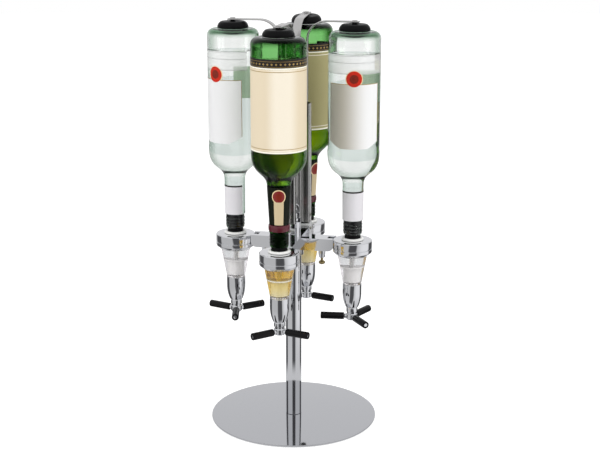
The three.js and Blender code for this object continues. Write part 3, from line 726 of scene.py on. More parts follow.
def softened(mesh: Mesh, width: float, segments: int = 2) -> Mesh:
    """Bevels the sharp edges of a mesh.

    Args:
        mesh: Mesh to soften.
        width: Width of the bevel, in millimetres.
        segments: Steps across the bevel.

    Returns:
        The softened mesh.
    """
    host = blank(mesh)
    modifier = host.modifiers.new("edges", "BEVEL")
    modifier.width = width * MM
    modifier.segments = segments
    modifier.limit_method = "ANGLE"
    modifier.angle_limit = math.radians(BEVEL_ANGLE)
    return baked(host)


# Patterns in geometry nodes


def begin_tree(name: str, inputs: dict[str, str]) -> tuple[GeometryNodeTree, Node]:
    """Begins a tree that makes one shape from named inputs.

    Args:
        name: Name of the tree.
        inputs: Name of each input to the kind of its socket.

    Returns:
        The tree and the node that gives its inputs.
    """
    tree = bpy.data.node_groups.new(name, "GeometryNodeTree")
    for label, kind in inputs.items():
        tree.interface.new_socket(label, in_out="INPUT", socket_type=f"NodeSocket{kind}")
    tree.interface.new_socket("Shape", in_out="OUTPUT", socket_type="NodeSocketGeometry")
    return tree, add_node(tree, "NodeGroupInput")


def end_tree(tree: GeometryNodeTree, shape: NodeSocket, finish: NodeSocket) -> None:
    """Ends a tree: its instances become real and take their finish.

    Args:
        tree: Geometry node tree.
        shape: Socket of the shape.
        finish: Socket of the material.
    """
    solid = add_node(tree, "GeometryNodeRealizeInstances", {}, {"Geometry": shape})
    dressed = add_node(tree, "GeometryNodeSetMaterial", {}, {
        "Geometry": solid.outputs["Geometry"], "Material": finish})
    add_node(tree, "NodeGroupOutput", {}, {"Shape": dressed.outputs["Geometry"]})


def pattern_tree() -> GeometryNodeTree:
    """Makes, on first use, the tree that repeats a shape along a step and about Z.

    Returns:
        The geometry node tree.
    """
    found = bpy.data.node_groups.get("repeat_shape")
    if found:
        return found
    tree, given = begin_tree("repeat_shape", {
        "Shape": "Geometry", "Count": "Int", "Step": "Vector", "Turn": "Float", "Finish": "Material"})
    row = add_node(tree, "GeometryNodeMeshLine", {}, {
        "Count": given.outputs["Count"], "Offset": given.outputs["Step"]})
    index = add_node(tree, "GeometryNodeInputIndex")
    angle = add_node(tree, "ShaderNodeMath", {"operation": "MULTIPLY"}, {
        0: index.outputs["Index"], 1: given.outputs["Turn"]})
    turn = add_node(tree, "ShaderNodeCombineXYZ", {}, {"Z": angle.outputs["Value"]})
    copies = add_node(tree, "GeometryNodeInstanceOnPoints", {}, {
        "Points": row.outputs["Mesh"], "Instance": given.outputs["Shape"],
        "Rotation": turn.outputs["Vector"]})
    end_tree(tree, copies.outputs["Instances"], given.outputs["Finish"])
    return tree


def coil_tree() -> GeometryNodeTree:
    """Makes, on first use, the tree that winds a wire into a spring about Z.

    Returns:
        The geometry node tree.
    """
    found = bpy.data.node_groups.get("coil_spring")
    if found:
        return found
    tree, given = begin_tree("coil_spring", {
        "Turns": "Float", "Radius": "Float", "Height": "Float", "Wire": "Float", "Bottom": "Vector",
        "Finish": "Material"})
    path = add_node(tree, "GeometryNodeCurveSpiral", {"Resolution": 28}, {
        "Rotations": given.outputs["Turns"], "Start Radius": given.outputs["Radius"],
        "End Radius": given.outputs["Radius"], "Height": given.outputs["Height"]})
    wire = add_node(tree, "GeometryNodeCurvePrimitiveCircle", {"Resolution": 10}, {
        "Radius": given.outputs["Wire"]})
    tube = add_node(tree, "GeometryNodeCurveToMesh", {"Fill Caps": True}, {
        "Curve": path.outputs["Curve"], "Profile Curve": wire.outputs["Curve"]})
    placed = add_node(tree, "GeometryNodeTransform", {}, {
        "Geometry": tube.outputs["Mesh"], "Translation": given.outputs["Bottom"]})
    end_tree(tree, placed.outputs["Geometry"], given.outputs["Finish"])
    return tree


def grown(tree: GeometryNodeTree, seed: Mesh, values: dict[str, Any]) -> Mesh:
    """Mesh that a tree makes.

    Args:
        tree: Geometry node tree.
        seed: Mesh that the tree starts from.
        values: Value of each named input.

    Returns:
        The plain mesh.
    """
    host = blank(seed)
    modifier = host.modifiers.new("pattern", "NODES")
    modifier.node_group = tree
    for item in tree.interface.items_tree:
        if item.item_type == "SOCKET" and item.in_out == "INPUT" and item.name in values:
            modifier[item.identifier] = values[item.name]
    return baked(host)


def round_pattern(seed: Mesh, count: int, finish: Finish) -> Mesh:
    """Copies of a shape spaced evenly about Z.

    Args:
        seed: Mesh of one copy.
        count: How many copies.
        finish: Their finish.

    Returns:
        The mesh of all copies.
    """
    return grown(pattern_tree(), seed, {
        "Count": count, "Step": (0.0, 0.0, 0.0), "Turn": 2 * math.pi / count, "Finish": finish.build()})


def row_pattern(seed: Mesh, count: int, step: Point, finish: Finish) -> Mesh:
    """Copies of a shape in a row.

    Args:
        seed: Mesh of the first copy.
        count: How many copies.
        step: From one copy to the next, in millimetres.
        finish: Their finish.

    Returns:
        The mesh of all copies.
    """
    return grown(pattern_tree(), seed, {
        "Count": count, "Step": tuple(v * MM for v in step), "Turn": 0.0, "Finish": finish.build()})


# Pieces on their bodies


def add_piece(name: str, mesh: Mesh, finish: Finish, body: str,
              replaces: Sequence[str] = ()) -> Object:
    """Puts a finished mesh on the body that carries it.

    Args:
        name: Name of the piece.
        mesh: Its mesh, in place and in metres.
        finish: Its finish.
        body: CAD body that it rides on.
        replaces: CAD nodes that it stands for.

    Returns:
        The new object.
    """
    piece = bpy.data.objects.new(name, mesh)
    bpy.context.scene.collection.objects.link(piece)
    mesh.materials.clear()
    mesh.materials.append(finish.build())
    for face in mesh.polygons:
        face.material_index = 0
        face.use_smooth = True
    mesh.set_sharp_from_angle(angle=math.radians(SHARP_ANGLE))
    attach(piece, body)
    if replaces:
        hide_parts(*replaces)
    log.info("%s on %s, %d faces", name, body, len(mesh.polygons))
    return piece


def dress_node(node: str, finish: Finish) -> None:
    """Gives a CAD node that stays in view its finish.

    Args:
        node: Name of the node.
        finish: Its finish.
    """
    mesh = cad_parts[node].data
    mesh.materials.clear()
    mesh.materials.append(finish.build())
    log.info("%s keeps its solid, in %s", node, finish.name)


# The stand and its turning head


@dataclass
class Base:
    """Foam pad, mirror plate, post and the spindle in its top."""

    plate_radius: float = 120.0
    plate_bottom: float = 1.3
    plate_top: float = 3.5
    recess_top: float = 2.7
    pad_inset: float = 6.0
    pad_thickness: float = 1.0
    plate_bore: float = 8.3
    post_radius: float = 11.5
    post_bottom: float = 3.8
    post_top: float = 247.7
    post_wall: float = 1.5
    plug_length: float = 15.0
    thread_radius: float = 4.2

    def make(self) -> None:
        """Builds the pieces that stand still."""
        pad_rim = self.plate_radius - self.pad_inset
        pad = lathe(rounded([(0, 0), (pad_rim, 0, 0.2), (pad_rim, self.pad_thickness, 0.2),
                             (0, self.pad_thickness)]), 160)
        add_piece("foam_pad", to_mesh("foam_pad", pad), FOAM, "stand", ["base_pad"])
        low, top, rim = self.plate_bottom, self.plate_top, self.plate_radius
        plate = lathe(rounded([
            (self.plate_bore, low), (rim, low, 0.5), (rim, top, 0.7), (self.thread_radius, top),
            (self.thread_radius, self.recess_top), (self.plate_bore, self.recess_top),
        ], closed=True), 200, closed=True)
        add_piece("mirror_plate", to_mesh("mirror_plate", plate), MIRROR, "stand", ["base_plate"])
        inner = self.post_radius - self.post_wall
        upper_plug, lower_plug = self.post_top - self.plug_length, self.post_bottom + self.plug_length
        post = lathe(rounded([
            (self.thread_radius, self.post_bottom), (self.post_radius, self.post_bottom, 0.5),
            (self.post_radius, self.post_top, 0.5), (self.thread_radius, self.post_top),
            (self.thread_radius, upper_plug), (inner, upper_plug),
            (inner, lower_plug), (self.thread_radius, lower_plug),
        ], closed=True), 96, closed=True)
        add_piece("post_tube", to_mesh("post_tube", post), CHROME, "stand", ["post"])
        dress_node("base_screw", ZINC)
        dress_node("spindle", ROLLED)


@dataclass
class Head:
    """The cross-shaped casting, its bush and the cap nut on the spindle."""

    radius: float = 14.5
    bottom: float = 246.0
    top: float = 296.0
    arm_bottom: float = 256.3
    arm_top: float = 273.7
    arm_width: float = 24.0
    arm_corner: float = 8.0
    optic_radius: float = 85.5
    mouth_radius: float = 28.3
    socket: Span = (260.2, 269.8)
    socket_width: float = 12.6
    tail_end: float = 33.0
    notch_width: float = 10.0
    notch_start: float = 50.2
    boss_place: float = 41.5
    boss_bottom: float = 244.0
    boss_radius: float = 5.0
    boss_foot_radius: float = 4.2
    boss_taper_height: float = 6.1
    screw_bore: float = 2.9
    pedestal: Span = (4.0, 24.9)
    pedestal_width: float = 15.6
    spigot: Span = (13.9, 23.1)
    spigot_width: float = 12.0
    spigot_height: float = 16.0
    skirt_radius: float = 12.1
    skirt_top: float = 252.8
    bore_radius: float = 8.82
    bore_bottom: float = 250.0
    nut_bottom: float = 296.3
    # Each step of the cap nut: its radius, and its top over the nut's bottom.
    nut_foot: Point = (10.5, 4.5)
    nut_waist: Point = (9.0, 11.9)
    nut_neck: Point = (6.5, 16.3)
    nut_bore: Point = (5.0, 16.7)
    nut_dome_radius: float = 8.5
    nut_dome_foot: float = 16.9
    nut_dome_height: float = 8.4

    def arm_parts(self, place: Matrix) -> tuple[list[Mesh], list[Mesh]]:
        """Meshes that one arm joins to the hub and cuts from it.

        Args:
            place: The arm's placement.

        Returns:
            Meshes to join, and meshes to cut.
        """
        end = self.optic_radius - math.sqrt(self.mouth_radius ** 2 - (self.arm_width / 2) ** 2)
        low, high = self.arm_bottom, self.arm_top
        side = rounded([(0, low), (end, low, self.arm_corner), (end, high), (0, high)], closed=True, steps=8)
        half = self.arm_width / 2
        boss = lathe(rounded([
            (0, self.boss_bottom), (self.boss_foot_radius, self.boss_bottom, 0.5),
            (self.boss_radius, low - self.boss_taper_height, 1.0), (self.boss_radius, low + OVERRUN),
            (0, low + OVERRUN)]), 40)
        boss.transform(Matrix.Translation((self.boss_place, 0, 0)))
        spigot = block(self.spigot, self.spigot_width, (self.top - SINK, self.top + self.spigot_height))
        pedestal = block(self.pedestal, self.pedestal_width, (low, self.top))
        joined = [prism(side, -half, half, "Y"), boss, pedestal, spigot]
        under, over, past = low - OVERRUN, high + OVERRUN, end + OVERRUN
        mouth = lathe([(0, under), (self.mouth_radius, under), (self.mouth_radius, over), (0, over)], 128)
        mouth.transform(Matrix.Translation((self.optic_radius, 0, 0)))
        socket = block((self.tail_end - SINK, past), self.socket_width, self.socket)
        notch = block((self.notch_start, past), self.notch_width, (self.socket[1] - SINK, over))
        foot, roof = self.boss_bottom - OVERRUN, self.socket[0] + SINK
        hole = lathe([(0, foot), (self.screw_bore, foot), (self.screw_bore, roof), (0, roof)], 24)
        hole.transform(Matrix.Translation((self.boss_place, 0, 0)))
        cuts = [mouth, socket, notch, hole]
        return ([to_mesh("join", part, place) for part in joined],
                [to_mesh("cut", part, place) for part in cuts])

    def make_hub(self) -> None:
        """Builds the casting from its core, four arms and their cuts."""
        core = lathe(rounded([(0, self.bottom), (self.radius, self.bottom, 1.2), (self.radius, self.top),
                              (0, self.top)]), 72)
        joined: list[Mesh] = []
        cuts: list[Mesh] = []
        for station in STATIONS:
            adds, takes = self.arm_parts(station.arm())
            joined += adds
            cuts += takes
        under, over = self.bottom - OVERRUN, self.top + OVERRUN
        skirt = lathe([(0, under), (self.skirt_radius, under), (self.skirt_radius, self.skirt_top),
                       (0, self.skirt_top)], 72)
        bore = lathe([(0, self.bore_bottom), (self.bore_radius, self.bore_bottom),
                      (self.bore_radius, over), (0, over)], 48)
        cuts += [to_mesh("cut", skirt), to_mesh("cut", bore)]
        hub = combined(to_mesh("hub", core), joined, cuts)
        add_piece("head_casting", softened(hub, 0.7, 3), CHROME, "head", ["hub"])

    def make(self) -> None:
        """Builds the head without what its arms carry."""
        self.make_hub()
        low, rim = self.nut_bottom, self.nut_dome_radius
        steps = (self.nut_foot, self.nut_waist, self.nut_neck, self.nut_bore)
        (foot, foot_top), (waist, waist_top), (neck, neck_top), (bore, roof) = (
            (radius, low + rise) for radius, rise in steps)
        body = rounded([
            (0, roof), (bore, roof), (bore, low), (foot, low, 0.5), (foot, foot_top, 0.8),
            (waist, foot_top, 0.3), (waist, waist_top, 0.8), (neck, waist_top), (neck, neck_top),
            (rim, neck_top, 0.6)])
        rises = (math.pi / 2 * step / 14 for step in range(15))
        dome = [(rim * math.cos(rise), low + self.nut_dome_foot + self.nut_dome_height * math.sin(rise))
                for rise in rises]
        nut = lathe(body + dome, 64)
        add_piece("cap_nut_turned", to_mesh("cap_nut", nut), CHROME, "stand", ["cap_nut"])
        dress_node("hub_bush", ACETAL)


# What each arm of the head carries


@dataclass
class Rail:
    """Upright channel rail with its fixing screws."""

    station: Station
    inner_face: float = 12.4
    depth: float = 12.2
    width: float = 15.0
    wall: float = 1.2
    slot: float = 8.0
    bottom: float = 296.3
    top: float = 465.0
    screw_height: float = 306.0
    screw_step: tuple[float, float, float] = (0.3, 0.0, -20.0)

    def section(self) -> list[Point]:
        """Draws the channel, seen from above.

        Returns:
            The outline's (x, y) points.
        """
        near, far, half = self.inner_face, self.inner_face + self.depth, self.width / 2
        wall, slot = self.wall, self.slot / 2
        outer = [(near, slot, 0.2), (near, half, 2.0), (far, half, 2.0)]
        inner = [(far - wall, half - wall, 0.9), (near + wall, half - wall, 0.9), (near + wall, slot, 0.2)]
        flipped = [(p[0], -p[1], p[2]) for p in outer[::-1]]
        flipped_inner = [(p[0], -p[1], p[2]) for p in inner[::-1]]
        return rounded([*outer, *flipped, *flipped_inner, *inner], closed=True, steps=4)

    def make(self) -> None:
        """Builds the rail and the screws that hold it to the pedestal."""
        rail = to_mesh("rail", prism(self.section(), self.bottom, self.top), self.station.arm())
        add_piece(self.station.at("channel_rail"), rail, ROLLED, "head", [self.station.at("rail")])
        head = lathe(rounded([(0, -0.6), (2.3, -0.6), (2.3, 0.35, 0.3), (1.5, 0.9, 0.3), (1.1, 0.9),
                              (0.9, 0.35), (0, 0.35)]), 24)
        head.transform(Matrix.Translation((self.inner_face + self.depth, 0, self.screw_height))
                       @ Matrix.Rotation(math.pi / 2, 4, "Y"))
        seed = to_mesh("screw", head)
        screws = row_pattern(seed, 2, self.screw_step, ZINC)
        screws.transform(self.station.arm())
        add_piece(self.station.at("rail_screws"), screws, ZINC, "head")


@dataclass
class Clamp:
    """Spring strip on its slide block, with the rubber pad that holds the bottle down."""

    station: Station
    strip_width: float = 12.0
    strip_thickness: float = 1.7
    strip_place: float = 19.6
    bend_radius: float = 27.0
    overhang: float = 6.5
    block_bottom: float = 376.0
    block_height: float = 24.0
    block_span: Span = (13.9, 23.1)
    block_width: float = 12.0
    pad_radius: float = 21.4
    pad_height: float = 9.1
    pad_rim: float = 2.5
    standoff: float = 12.2
    line: float = 578.0
    rim_radius: float = 26.5

    def place(self) -> tuple[float, float, float, float, float, float]:
        """Works out how the strip is bent and where its pad lands on the bottle.

        Returns:
            Pitch, bend centre, arm length, pad X, pad Z and bend Z of the strip.
        """
        pitch = math.radians(self.station.pitch)
        centre = self.strip_place + self.bend_radius
        reach = self.station.optic_radius - centre
        pad_x = centre - self.bend_radius * math.sin(pitch) + reach * math.cos(pitch)
        near_edge = pad_x + self.standoff * math.sin(pitch) - self.pad_radius * math.cos(pitch)
        over_rim = max(0.0, self.station.optic_radius - self.rim_radius - near_edge)
        pad_z = (self.line + self.pad_radius * math.sin(pitch) - over_rim * math.tan(pitch)
                 - self.standoff * (1 - math.cos(pitch)))
        bend_z = pad_z - self.bend_radius * math.cos(pitch) - reach * math.sin(pitch)
        return pitch, centre, reach, pad_x, pad_z, bend_z

    def make(self) -> None:
        """Builds the strip, the slide block, the pad and its stud."""
        pitch, centre, reach, pad_x, pad_z, bend_z = self.place()
        body, arm = self.station.at("clamp"), self.station.arm()
        half = self.strip_thickness / 2
        run = reach + self.overhang

        def side(offset: float) -> list[Point]:
            """Draws one face of the strip, seen from the side.

            Args:
                offset: How far the face lies outside the strip's middle.

            Returns:
                (x, z) points from the block to the tip.
            """
            bend = arc((centre, bend_z), self.bend_radius + offset, 180, 90 + self.station.pitch, 28)
            tip = (bend[-1][0] + run * math.cos(pitch), bend[-1][1] + run * math.sin(pitch))
            return [(self.strip_place - offset, self.block_bottom), *bend, tip]

        outline = side(half) + side(-half)[::-1]
        strip = to_mesh("strip", prism(outline, -self.strip_width / 2, self.strip_width / 2, "Y"), arm)
        add_piece(self.station.at("spring_strip"), softened(strip, 0.35), ROLLED, body,
                  [self.station.at("clamp_arm")])
        block_ends = (self.block_bottom, self.block_bottom + self.block_height)
        slide = to_mesh("slide", block(self.block_span, self.block_width, block_ends), arm)
        add_piece(self.station.at("slide_block"), softened(slide, 0.6), ROLLED, body)
        tilt = arm @ Matrix.Translation((pad_x, 0, pad_z)) @ Matrix.Rotation(-pitch, 4, "Y")
        low = -self.standoff
        top = low + self.pad_height
        rim = self.pad_radius
        pad = lathe(rounded([
            (0, low), (rim, low, 0.8), (rim, low + self.pad_rim, 1.0)])
            + curve((rim - 0.1, low + self.pad_rim + 0.8), (rim - 0.4, low + 4.6), (18.6, top), (15.5, top))
            + rounded([(9.0, top), (8.2, top - 0.6), (4.6, top - 0.6), (3.6, top, 0.3),
                       (3.6, -half - 0.3, 0.4), (0, -half - 0.3)]), 72)
        add_piece(self.station.at("rubber_pad"), to_mesh("pad", pad, tilt), RUBBER, body,
                  [self.station.at("clamp_pad")])
        stud = lathe(rounded([(0, -half - 0.5), (3.0, -half - 0.5), (3.0, half + 0.3), (4.2, half + 0.3, 0.3),
                              (3.0, half + 1.3, 0.5), (0, half + 1.3)]), 32)
        add_piece(self.station.at("pad_stud"), to_mesh("stud", stud, tilt), ROLLED, body)


@dataclass
class ThumbScrew:
    """Nickelled brass screw that locks an optic in its socket."""

    station: Station
    place: float = 41.5
    neck_top: float = 243.7
    neck_length: float = 4.2
    neck_radius: float = 1.9
    head_radius: float = 4.8
    head_height: float = 3.0
    thread_radius: float = 2.6
    thread_top: float = 260.2

    def make(self) -> None:
        """Builds the screw with its mushroom head."""
        top, neck, rim = self.neck_top, self.neck_top - self.neck_length, self.head_radius
        rises = (-math.pi / 2 + math.pi / 2 * step / 12 for step in range(13))
        dome = [(rim * math.cos(rise), neck - self.head_height + self.head_height * math.sin(rise))
                for rise in rises]
        cone = curve((rim, neck - self.head_height), (rim, neck - 0.8), (self.neck_radius + 0.5, neck - 0.6),
                     (self.neck_radius, neck), 8)
        outline = dome + cone[1:] + [
            (self.neck_radius, top), (self.thread_radius, top + SINK), (self.thread_radius, self.thread_top),
            (0, self.thread_top)]
        where = self.station.arm() @ Matrix.Translation((self.place, 0, 0))
        add_piece(self.station.at("brass_screw"), to_mesh("thumb_screw", lathe(outline, 40), where), BRASS,
                  self.station.at("screw"), [self.station.at("thumb_screw")])


@dataclass
class Optic:
    """Collar, seat, measuring chamber, valve housing, plunger and spring of one station."""

    station: Station
    collar_radius: float = 27.8
    collar_top: float = 272.8
    collar_bottom: float = 250.6
    collar_bore: float = 21.0
    collar_floor: float = 262.2
    stopper_floor: float = 267.7
    step_radius: float = 7.5
    groove_depth: float = 0.9
    groove: Span = (12.2, 10.9)
    tail_length: float = 24.7
    tail_root: float = -24.4
    tail_width: float = 12.0
    tail_heights: Span = (260.5, 269.5)
    chamber_radius: float = 20.7
    chamber_foot: float = 13.1
    chamber_bottom: float = 208.5
    chamber_shoulder: float = 250.0
    chamber_top: float = 261.9
    chamber_wall: float = 1.6
    chamber_floor: float = 2.5
    plunger_rod: float = 3.0
    drink_top: float = 258.0
    drink_overlap: float = 0.06
    housing_radius: float = 13.5
    housing_bottom: float = 174.0
    housing_top: float = 208.2
    housing_taper: float = 195.5
    housing_inner: float = 11.9
    housing_mouth: float = 8.6
    gland_radius: float = 5.2
    gland_height: float = 2.3
    plunger_bottom: float = 154.5
    lever_top: float = 186.0
    plunger_foot: Point = (5.2, 3.0)
    flange_radius: float = 7.5
    flange_thickness: float = 1.5
    stop_radius: float = 4.9
    stop: Span = (208.5, 210.7)
    sleeve_bore: float = 7.5
    sleeve_radius: float = 8.7
    sleeve: Span = (211.6, 233.6)
    sleeve_roof: float = 232.4
    seal_radius: float = 15.3
    seal_top: float = 235.6
    crown_radius: float = 6.9
    crown: tuple[float, float, float] = (247.8, 250.0, 252.2)
    stopper_bore: float = 4.0
    stopper_foot: Point = (11.2, 13.2)
    stopper_plug: float = 10.05
    stopper: Span = (268.0, 302.3)
    seat_radius: float = 11.5
    seat_width: float = 4.0
    seat_bottom: float = 273.1
    seat_top: float = 276.2
    spring_top: float = 205.6
    spring_radius: float = 5.4
    spring_turns: float = 4.0
    spring_wire: float = 0.6
    stroke: float = 9.0

    def turned(self, name: str, outline: Sequence[Point], finish: Finish, replaces: str | None, slot: str,
               closed: bool = True, sides: int = 96, body: str = "optic") -> None:
        """Adds one turned piece on the optic's axis.

        Args:
            name: Name of the piece, without the station.
            outline: (radius, height) points.
            finish: Its finish.
            replaces: CAD part that it stands for, without the station, or None.
            slot: Not used.
            closed: Whether the outline closes on itself.
            sides: Facets round the axis.
            body: Body that it rides on, without the station.
        """
        mesh = to_mesh(name, lathe(outline, sides, closed), self.station.optic())
        nodes = [self.station.at(replaces)] if replaces else []
        add_piece(self.station.at(name), mesh, finish, self.station.at(body), nodes)

    def make_collar(self) -> None:
        """Builds the chromed collar, its tail and the seat ring."""
        rim, low, top, bore = self.collar_radius, self.collar_bottom, self.collar_top, self.collar_bore
        seat, ring = self.seat_radius, self.seat_radius + self.seat_width
        groove, dip = rim - self.groove_depth, self.stopper_floor
        groove_low, groove_high = (top - depth for depth in self.groove)
        self.turned("chrome_collar", rounded([
            (bore, low, 0.3), (rim - 6.0, low, 1.6), (rim, low + 5.2, 1.6), (rim, groove_low, 0.35),
            (groove, groove_low, 0.2), (groove, groove_high, 0.2), (rim, groove_high, 0.35),
            (rim, top, 1.5), (seat, top, 0.3), (seat, dip), (self.step_radius, dip),
            (self.step_radius, self.collar_floor), (bore, self.collar_floor),
        ], closed=True), CHROME, "collar", "chrome", sides=128)
        tail = block((-rim - self.tail_length, self.tail_root), self.tail_width, self.tail_heights)
        add_piece(self.station.at("collar_tail"), softened(to_mesh("tail", tail, self.station.optic()), 0.6),
                  CHROME, self.station.at("optic"), ())
        foot, crown = self.seat_bottom, self.seat_top
        self.turned("white_seat", rounded([
            (seat, foot), (ring, foot, 0.3), (ring, crown - 1.3, 1.0), (ring - 1.2, crown, 0.9),
            (seat, crown, 0.3),
        ], closed=True), ACETAL, "seat_ring", "white_plastic")

    def make_chamber(self) -> None:
        """Builds the clear measuring chamber with its drink."""
        rim, foot, wall = self.chamber_radius, self.chamber_foot, self.chamber_wall
        low, tuck, top = self.chamber_bottom, self.chamber_shoulder, self.chamber_top
        floor = low + self.chamber_floor
        self.turned("clear_chamber", rounded([
            (self.gland_radius, low), (foot, low, 0.8), (rim, tuck, 0.6), (rim, top), (rim - wall, top),
            (rim - wall, tuck), (foot - wall, floor, 0.8), (self.gland_radius, floor),
        ], closed=True), CLEAR_PLASTIC, "chamber", "clear_plastic")
        amber = self.station.glass is Glass.GREEN
        rod, wet, wet_foot = self.plunger_rod + 0.05, rim - wall + self.drink_overlap, floor + 0.05
        drink = rounded([
            (rod, wet_foot), (foot - wall + self.drink_overlap, wet_foot, 0.7), (wet, tuck),
            (wet, self.drink_top), (rod, self.drink_top)], closed=True)
        self.turned("measured_drink", drink, MEASURE if amber else SPIRIT, None, "clear_plastic", sides=64)

    def make_housing(self) -> None:
        """Builds the chromed valve housing under the chamber."""
        top, low, rim, inner = self.housing_top, self.housing_bottom, self.housing_radius, self.housing_inner
        neck, gland, mouth = self.housing_taper, self.gland_radius, self.housing_mouth
        pull, roof = (neck + low) / 2, top - self.gland_height
        taper = curve((rim, neck), (rim, pull), (rim - 2.05, low + 5.4), (rim - 4.1, low + 0.3), 22)
        throat = curve((inner, neck), (inner, pull), (inner - 1.7, low + 6.6), (mouth, low + 2.5), 12)
        outline = [(mouth, low), (mouth + 0.5, low)] + taper[::-1] + rounded([
            (rim, neck + 4.5), (rim, top, 0.5), (gland, top), (gland, roof), (inner, roof),
            (inner, neck + 4.5),
        ]) + throat
        self.turned("chrome_housing", outline, CHROME, "valve_housing", "chrome")

    def make_plunger(self) -> None:
        """Builds the plunger: foot, flange under the spring, stop, sleeve, seal disc and crown on a rod."""
        rod, flange, stop, bore = self.plunger_rod, self.flange_radius, self.stop_radius, self.sleeve_bore
        sleeve, seal, crown = self.sleeve_radius, self.seal_radius, self.crown_radius
        low, shelf = self.plunger_bottom, self.lever_top + SINK
        (foot, foot_rise), shelf_top = self.plunger_foot, shelf + self.flange_thickness
        (stop_low, stop_top), (sleeve_low, sleeve_top) = self.stop, self.sleeve
        cone, crown_low, crown_top = self.crown
        self.turned("white_plunger", rounded([
            (0, low), (foot, low, 0.4), (foot, low + foot_rise), (rod, low + foot_rise), (rod, shelf),
            (flange, shelf), (flange, shelf_top), (rod, shelf_top), (rod, stop_low), (stop, stop_low),
            (stop, stop_top), (rod, stop_top), (rod, self.sleeve_roof), (bore, self.sleeve_roof),
            (bore, sleeve_low), (sleeve, sleeve_low, 0.3), (sleeve, sleeve_top, 0.5),
            (seal, sleeve_top, 0.4), (seal, self.seal_top, 0.4), (rod, self.seal_top), (rod, cone),
            (crown, crown_low, 0.3), (crown, crown_top, 0.3), (0, crown_top),
        ]), ACETAL, "plunger", "white_plastic", closed=False, sides=64, body="valve")

    def make_spring(self) -> None:
        """Builds the return spring at its length with the valve shut."""
        wire = self.spring_wire
        foot = self.lever_top + self.flange_thickness + wire
        centre = self.station.optic().translation * MM
        coil = grown(coil_tree(), to_mesh("seed", bmesh.new()), {
            "Turns": self.spring_turns, "Radius": self.spring_radius * MM, "Wire": wire * MM,
            "Height": (self.spring_top - foot - 2 * wire) * MM,
            "Bottom": (0.0, 0.0, (foot + wire) * MM), "Finish": ROLLED.build()})
        coil.transform(Matrix.Translation(centre))
        spring = add_piece(self.station.at("coil"), coil, ROLLED, self.station.at("optic"),
                           [self.station.at("valve_spring")])
        self.station.at("valve_lift")
        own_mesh(spring)

    def make_stopper(self) -> None:
        """Builds the black stopper that holds the bottle by its mouth."""
        bore, plug, (foot, foot_rise), (low, top) = (
            self.stopper_bore, self.stopper_plug, self.stopper_foot, self.stopper)
        shelf, groove = low + foot_rise, plug - 0.35
        self.turned("black_stopper", rounded([
            (bore, low), (foot, low, 0.4), (foot, shelf, 0.5), (groove, shelf), (groove, shelf + 1.4),
            (plug, shelf + 2.2), (plug, top - 1.5), (plug - 0.75, top, 0.5), (bore, top, 0.4),
        ], closed=True), RUBBER, "stopper", "stopper_rubber", sides=64)

    def make(self) -> None:
        """Builds the whole optic, from the collar down and then up to the stopper."""
        self.make_collar()
        self.make_chamber()
        self.make_housing()
        self.make_plunger()
        self.make_spring()
        self.make_stopper()


@dataclass
class Lever:
    """Three-armed lever: chromed boss and rods with black sleeves."""

    station: Station
    hub_radius: float = 8.0
    hub_bore: float = 3.4
    foot_bore: float = 5.7
    foot_depth: float = 3.3
    bottom: float = 154.5
    top: float = 186.0
    arm_height: float = 159.0
    arm_root: float = 6.4
    rod_radius: float = 2.6
    collar_radius: float = 3.6
    reach: float = 44.6
    sleeve_radius: float = 5.1
    sleeve_start: float = 11.0
    disc_depth: float = 1.2
    arms: int = 3

    def ring_of_arms(self, name: str, outline: Sequence[Point], finish: Finish,
                     closed: bool = False) -> Object:
        """Adds one turned detail on each arm.

        Args:
            name: Name of the piece, without the station.
            outline: (radius, distance along the arm) points.
            finish: Its finish.
            closed: Whether the outline closes on itself.

        Returns:
            The new piece.
        """
        shape = lathe(outline, 32, closed)
        lie = Matrix.Translation((0, 0, self.arm_height)) @ Matrix.Rotation(math.pi / 2, 4, "Y")
        mesh = round_pattern(to_mesh(name, shape, lie), self.arms, finish)
        where = self.station.optic(self.station.lever_angle)
        where.translation *= MM
        mesh.transform(where)
        return add_piece(self.station.at(name), mesh, finish, self.station.at("handle"))

    def make(self) -> None:
        """Builds the boss, rods, sleeves and end discs."""
        low, top, rim, step = self.bottom, self.top, self.hub_radius, self.bottom + self.foot_depth
        boss = lathe(rounded([
            (self.foot_bore, low), (rim - 1.2, low, 0.4), (rim, low + 1.6, 0.6), (rim, low + 8.2, 0.5),
            (rim - 1.1, low + 9.2, 0.3), (rim - 1.1, low + 11.2, 0.3), (rim, low + 12.2, 0.5),
            (rim, low + 17.6, 0.4), (rim - 0.5, low + 18.4, 0.2), (rim - 0.5, top), (self.hub_bore, top),
            (self.hub_bore, step), (self.foot_bore, step)], closed=True), 64, closed=True)
        mesh = to_mesh("boss", boss, self.station.optic(self.station.lever_angle))
        add_piece(self.station.at("lever_boss"), mesh, CHROME, self.station.at("handle"),
                  [self.station.at("lever")])
        start, end, sleeve, rod = self.sleeve_start, self.reach, self.sleeve_radius, self.rod_radius
        root, collar, disc = self.arm_root, self.collar_radius, end - self.disc_depth
        self.ring_of_arms("lever_rods", rounded([
            (0, root), (collar, root), (collar, start - 1.2, 0.6), (rod, start - 0.4, 0.3), (rod, end - 1.4),
            (0, end - 1.4)]), CHROME)
        self.ring_of_arms("lever_sleeves", rounded([
            (rod + 0.1, start), (sleeve, start, 0.8), (sleeve, end, 1.1), (rod, end, 0.3), (rod, end - 1.0),
            (rod + 0.1, disc)], closed=True), VINYL, closed=True)
        self.ring_of_arms("lever_end_discs", rounded([
            (0, disc), (rod - 0.05, disc), (rod - 0.05, end - 0.5, 0.3), (0, end - 0.35)]), CHROME)


# Bottles


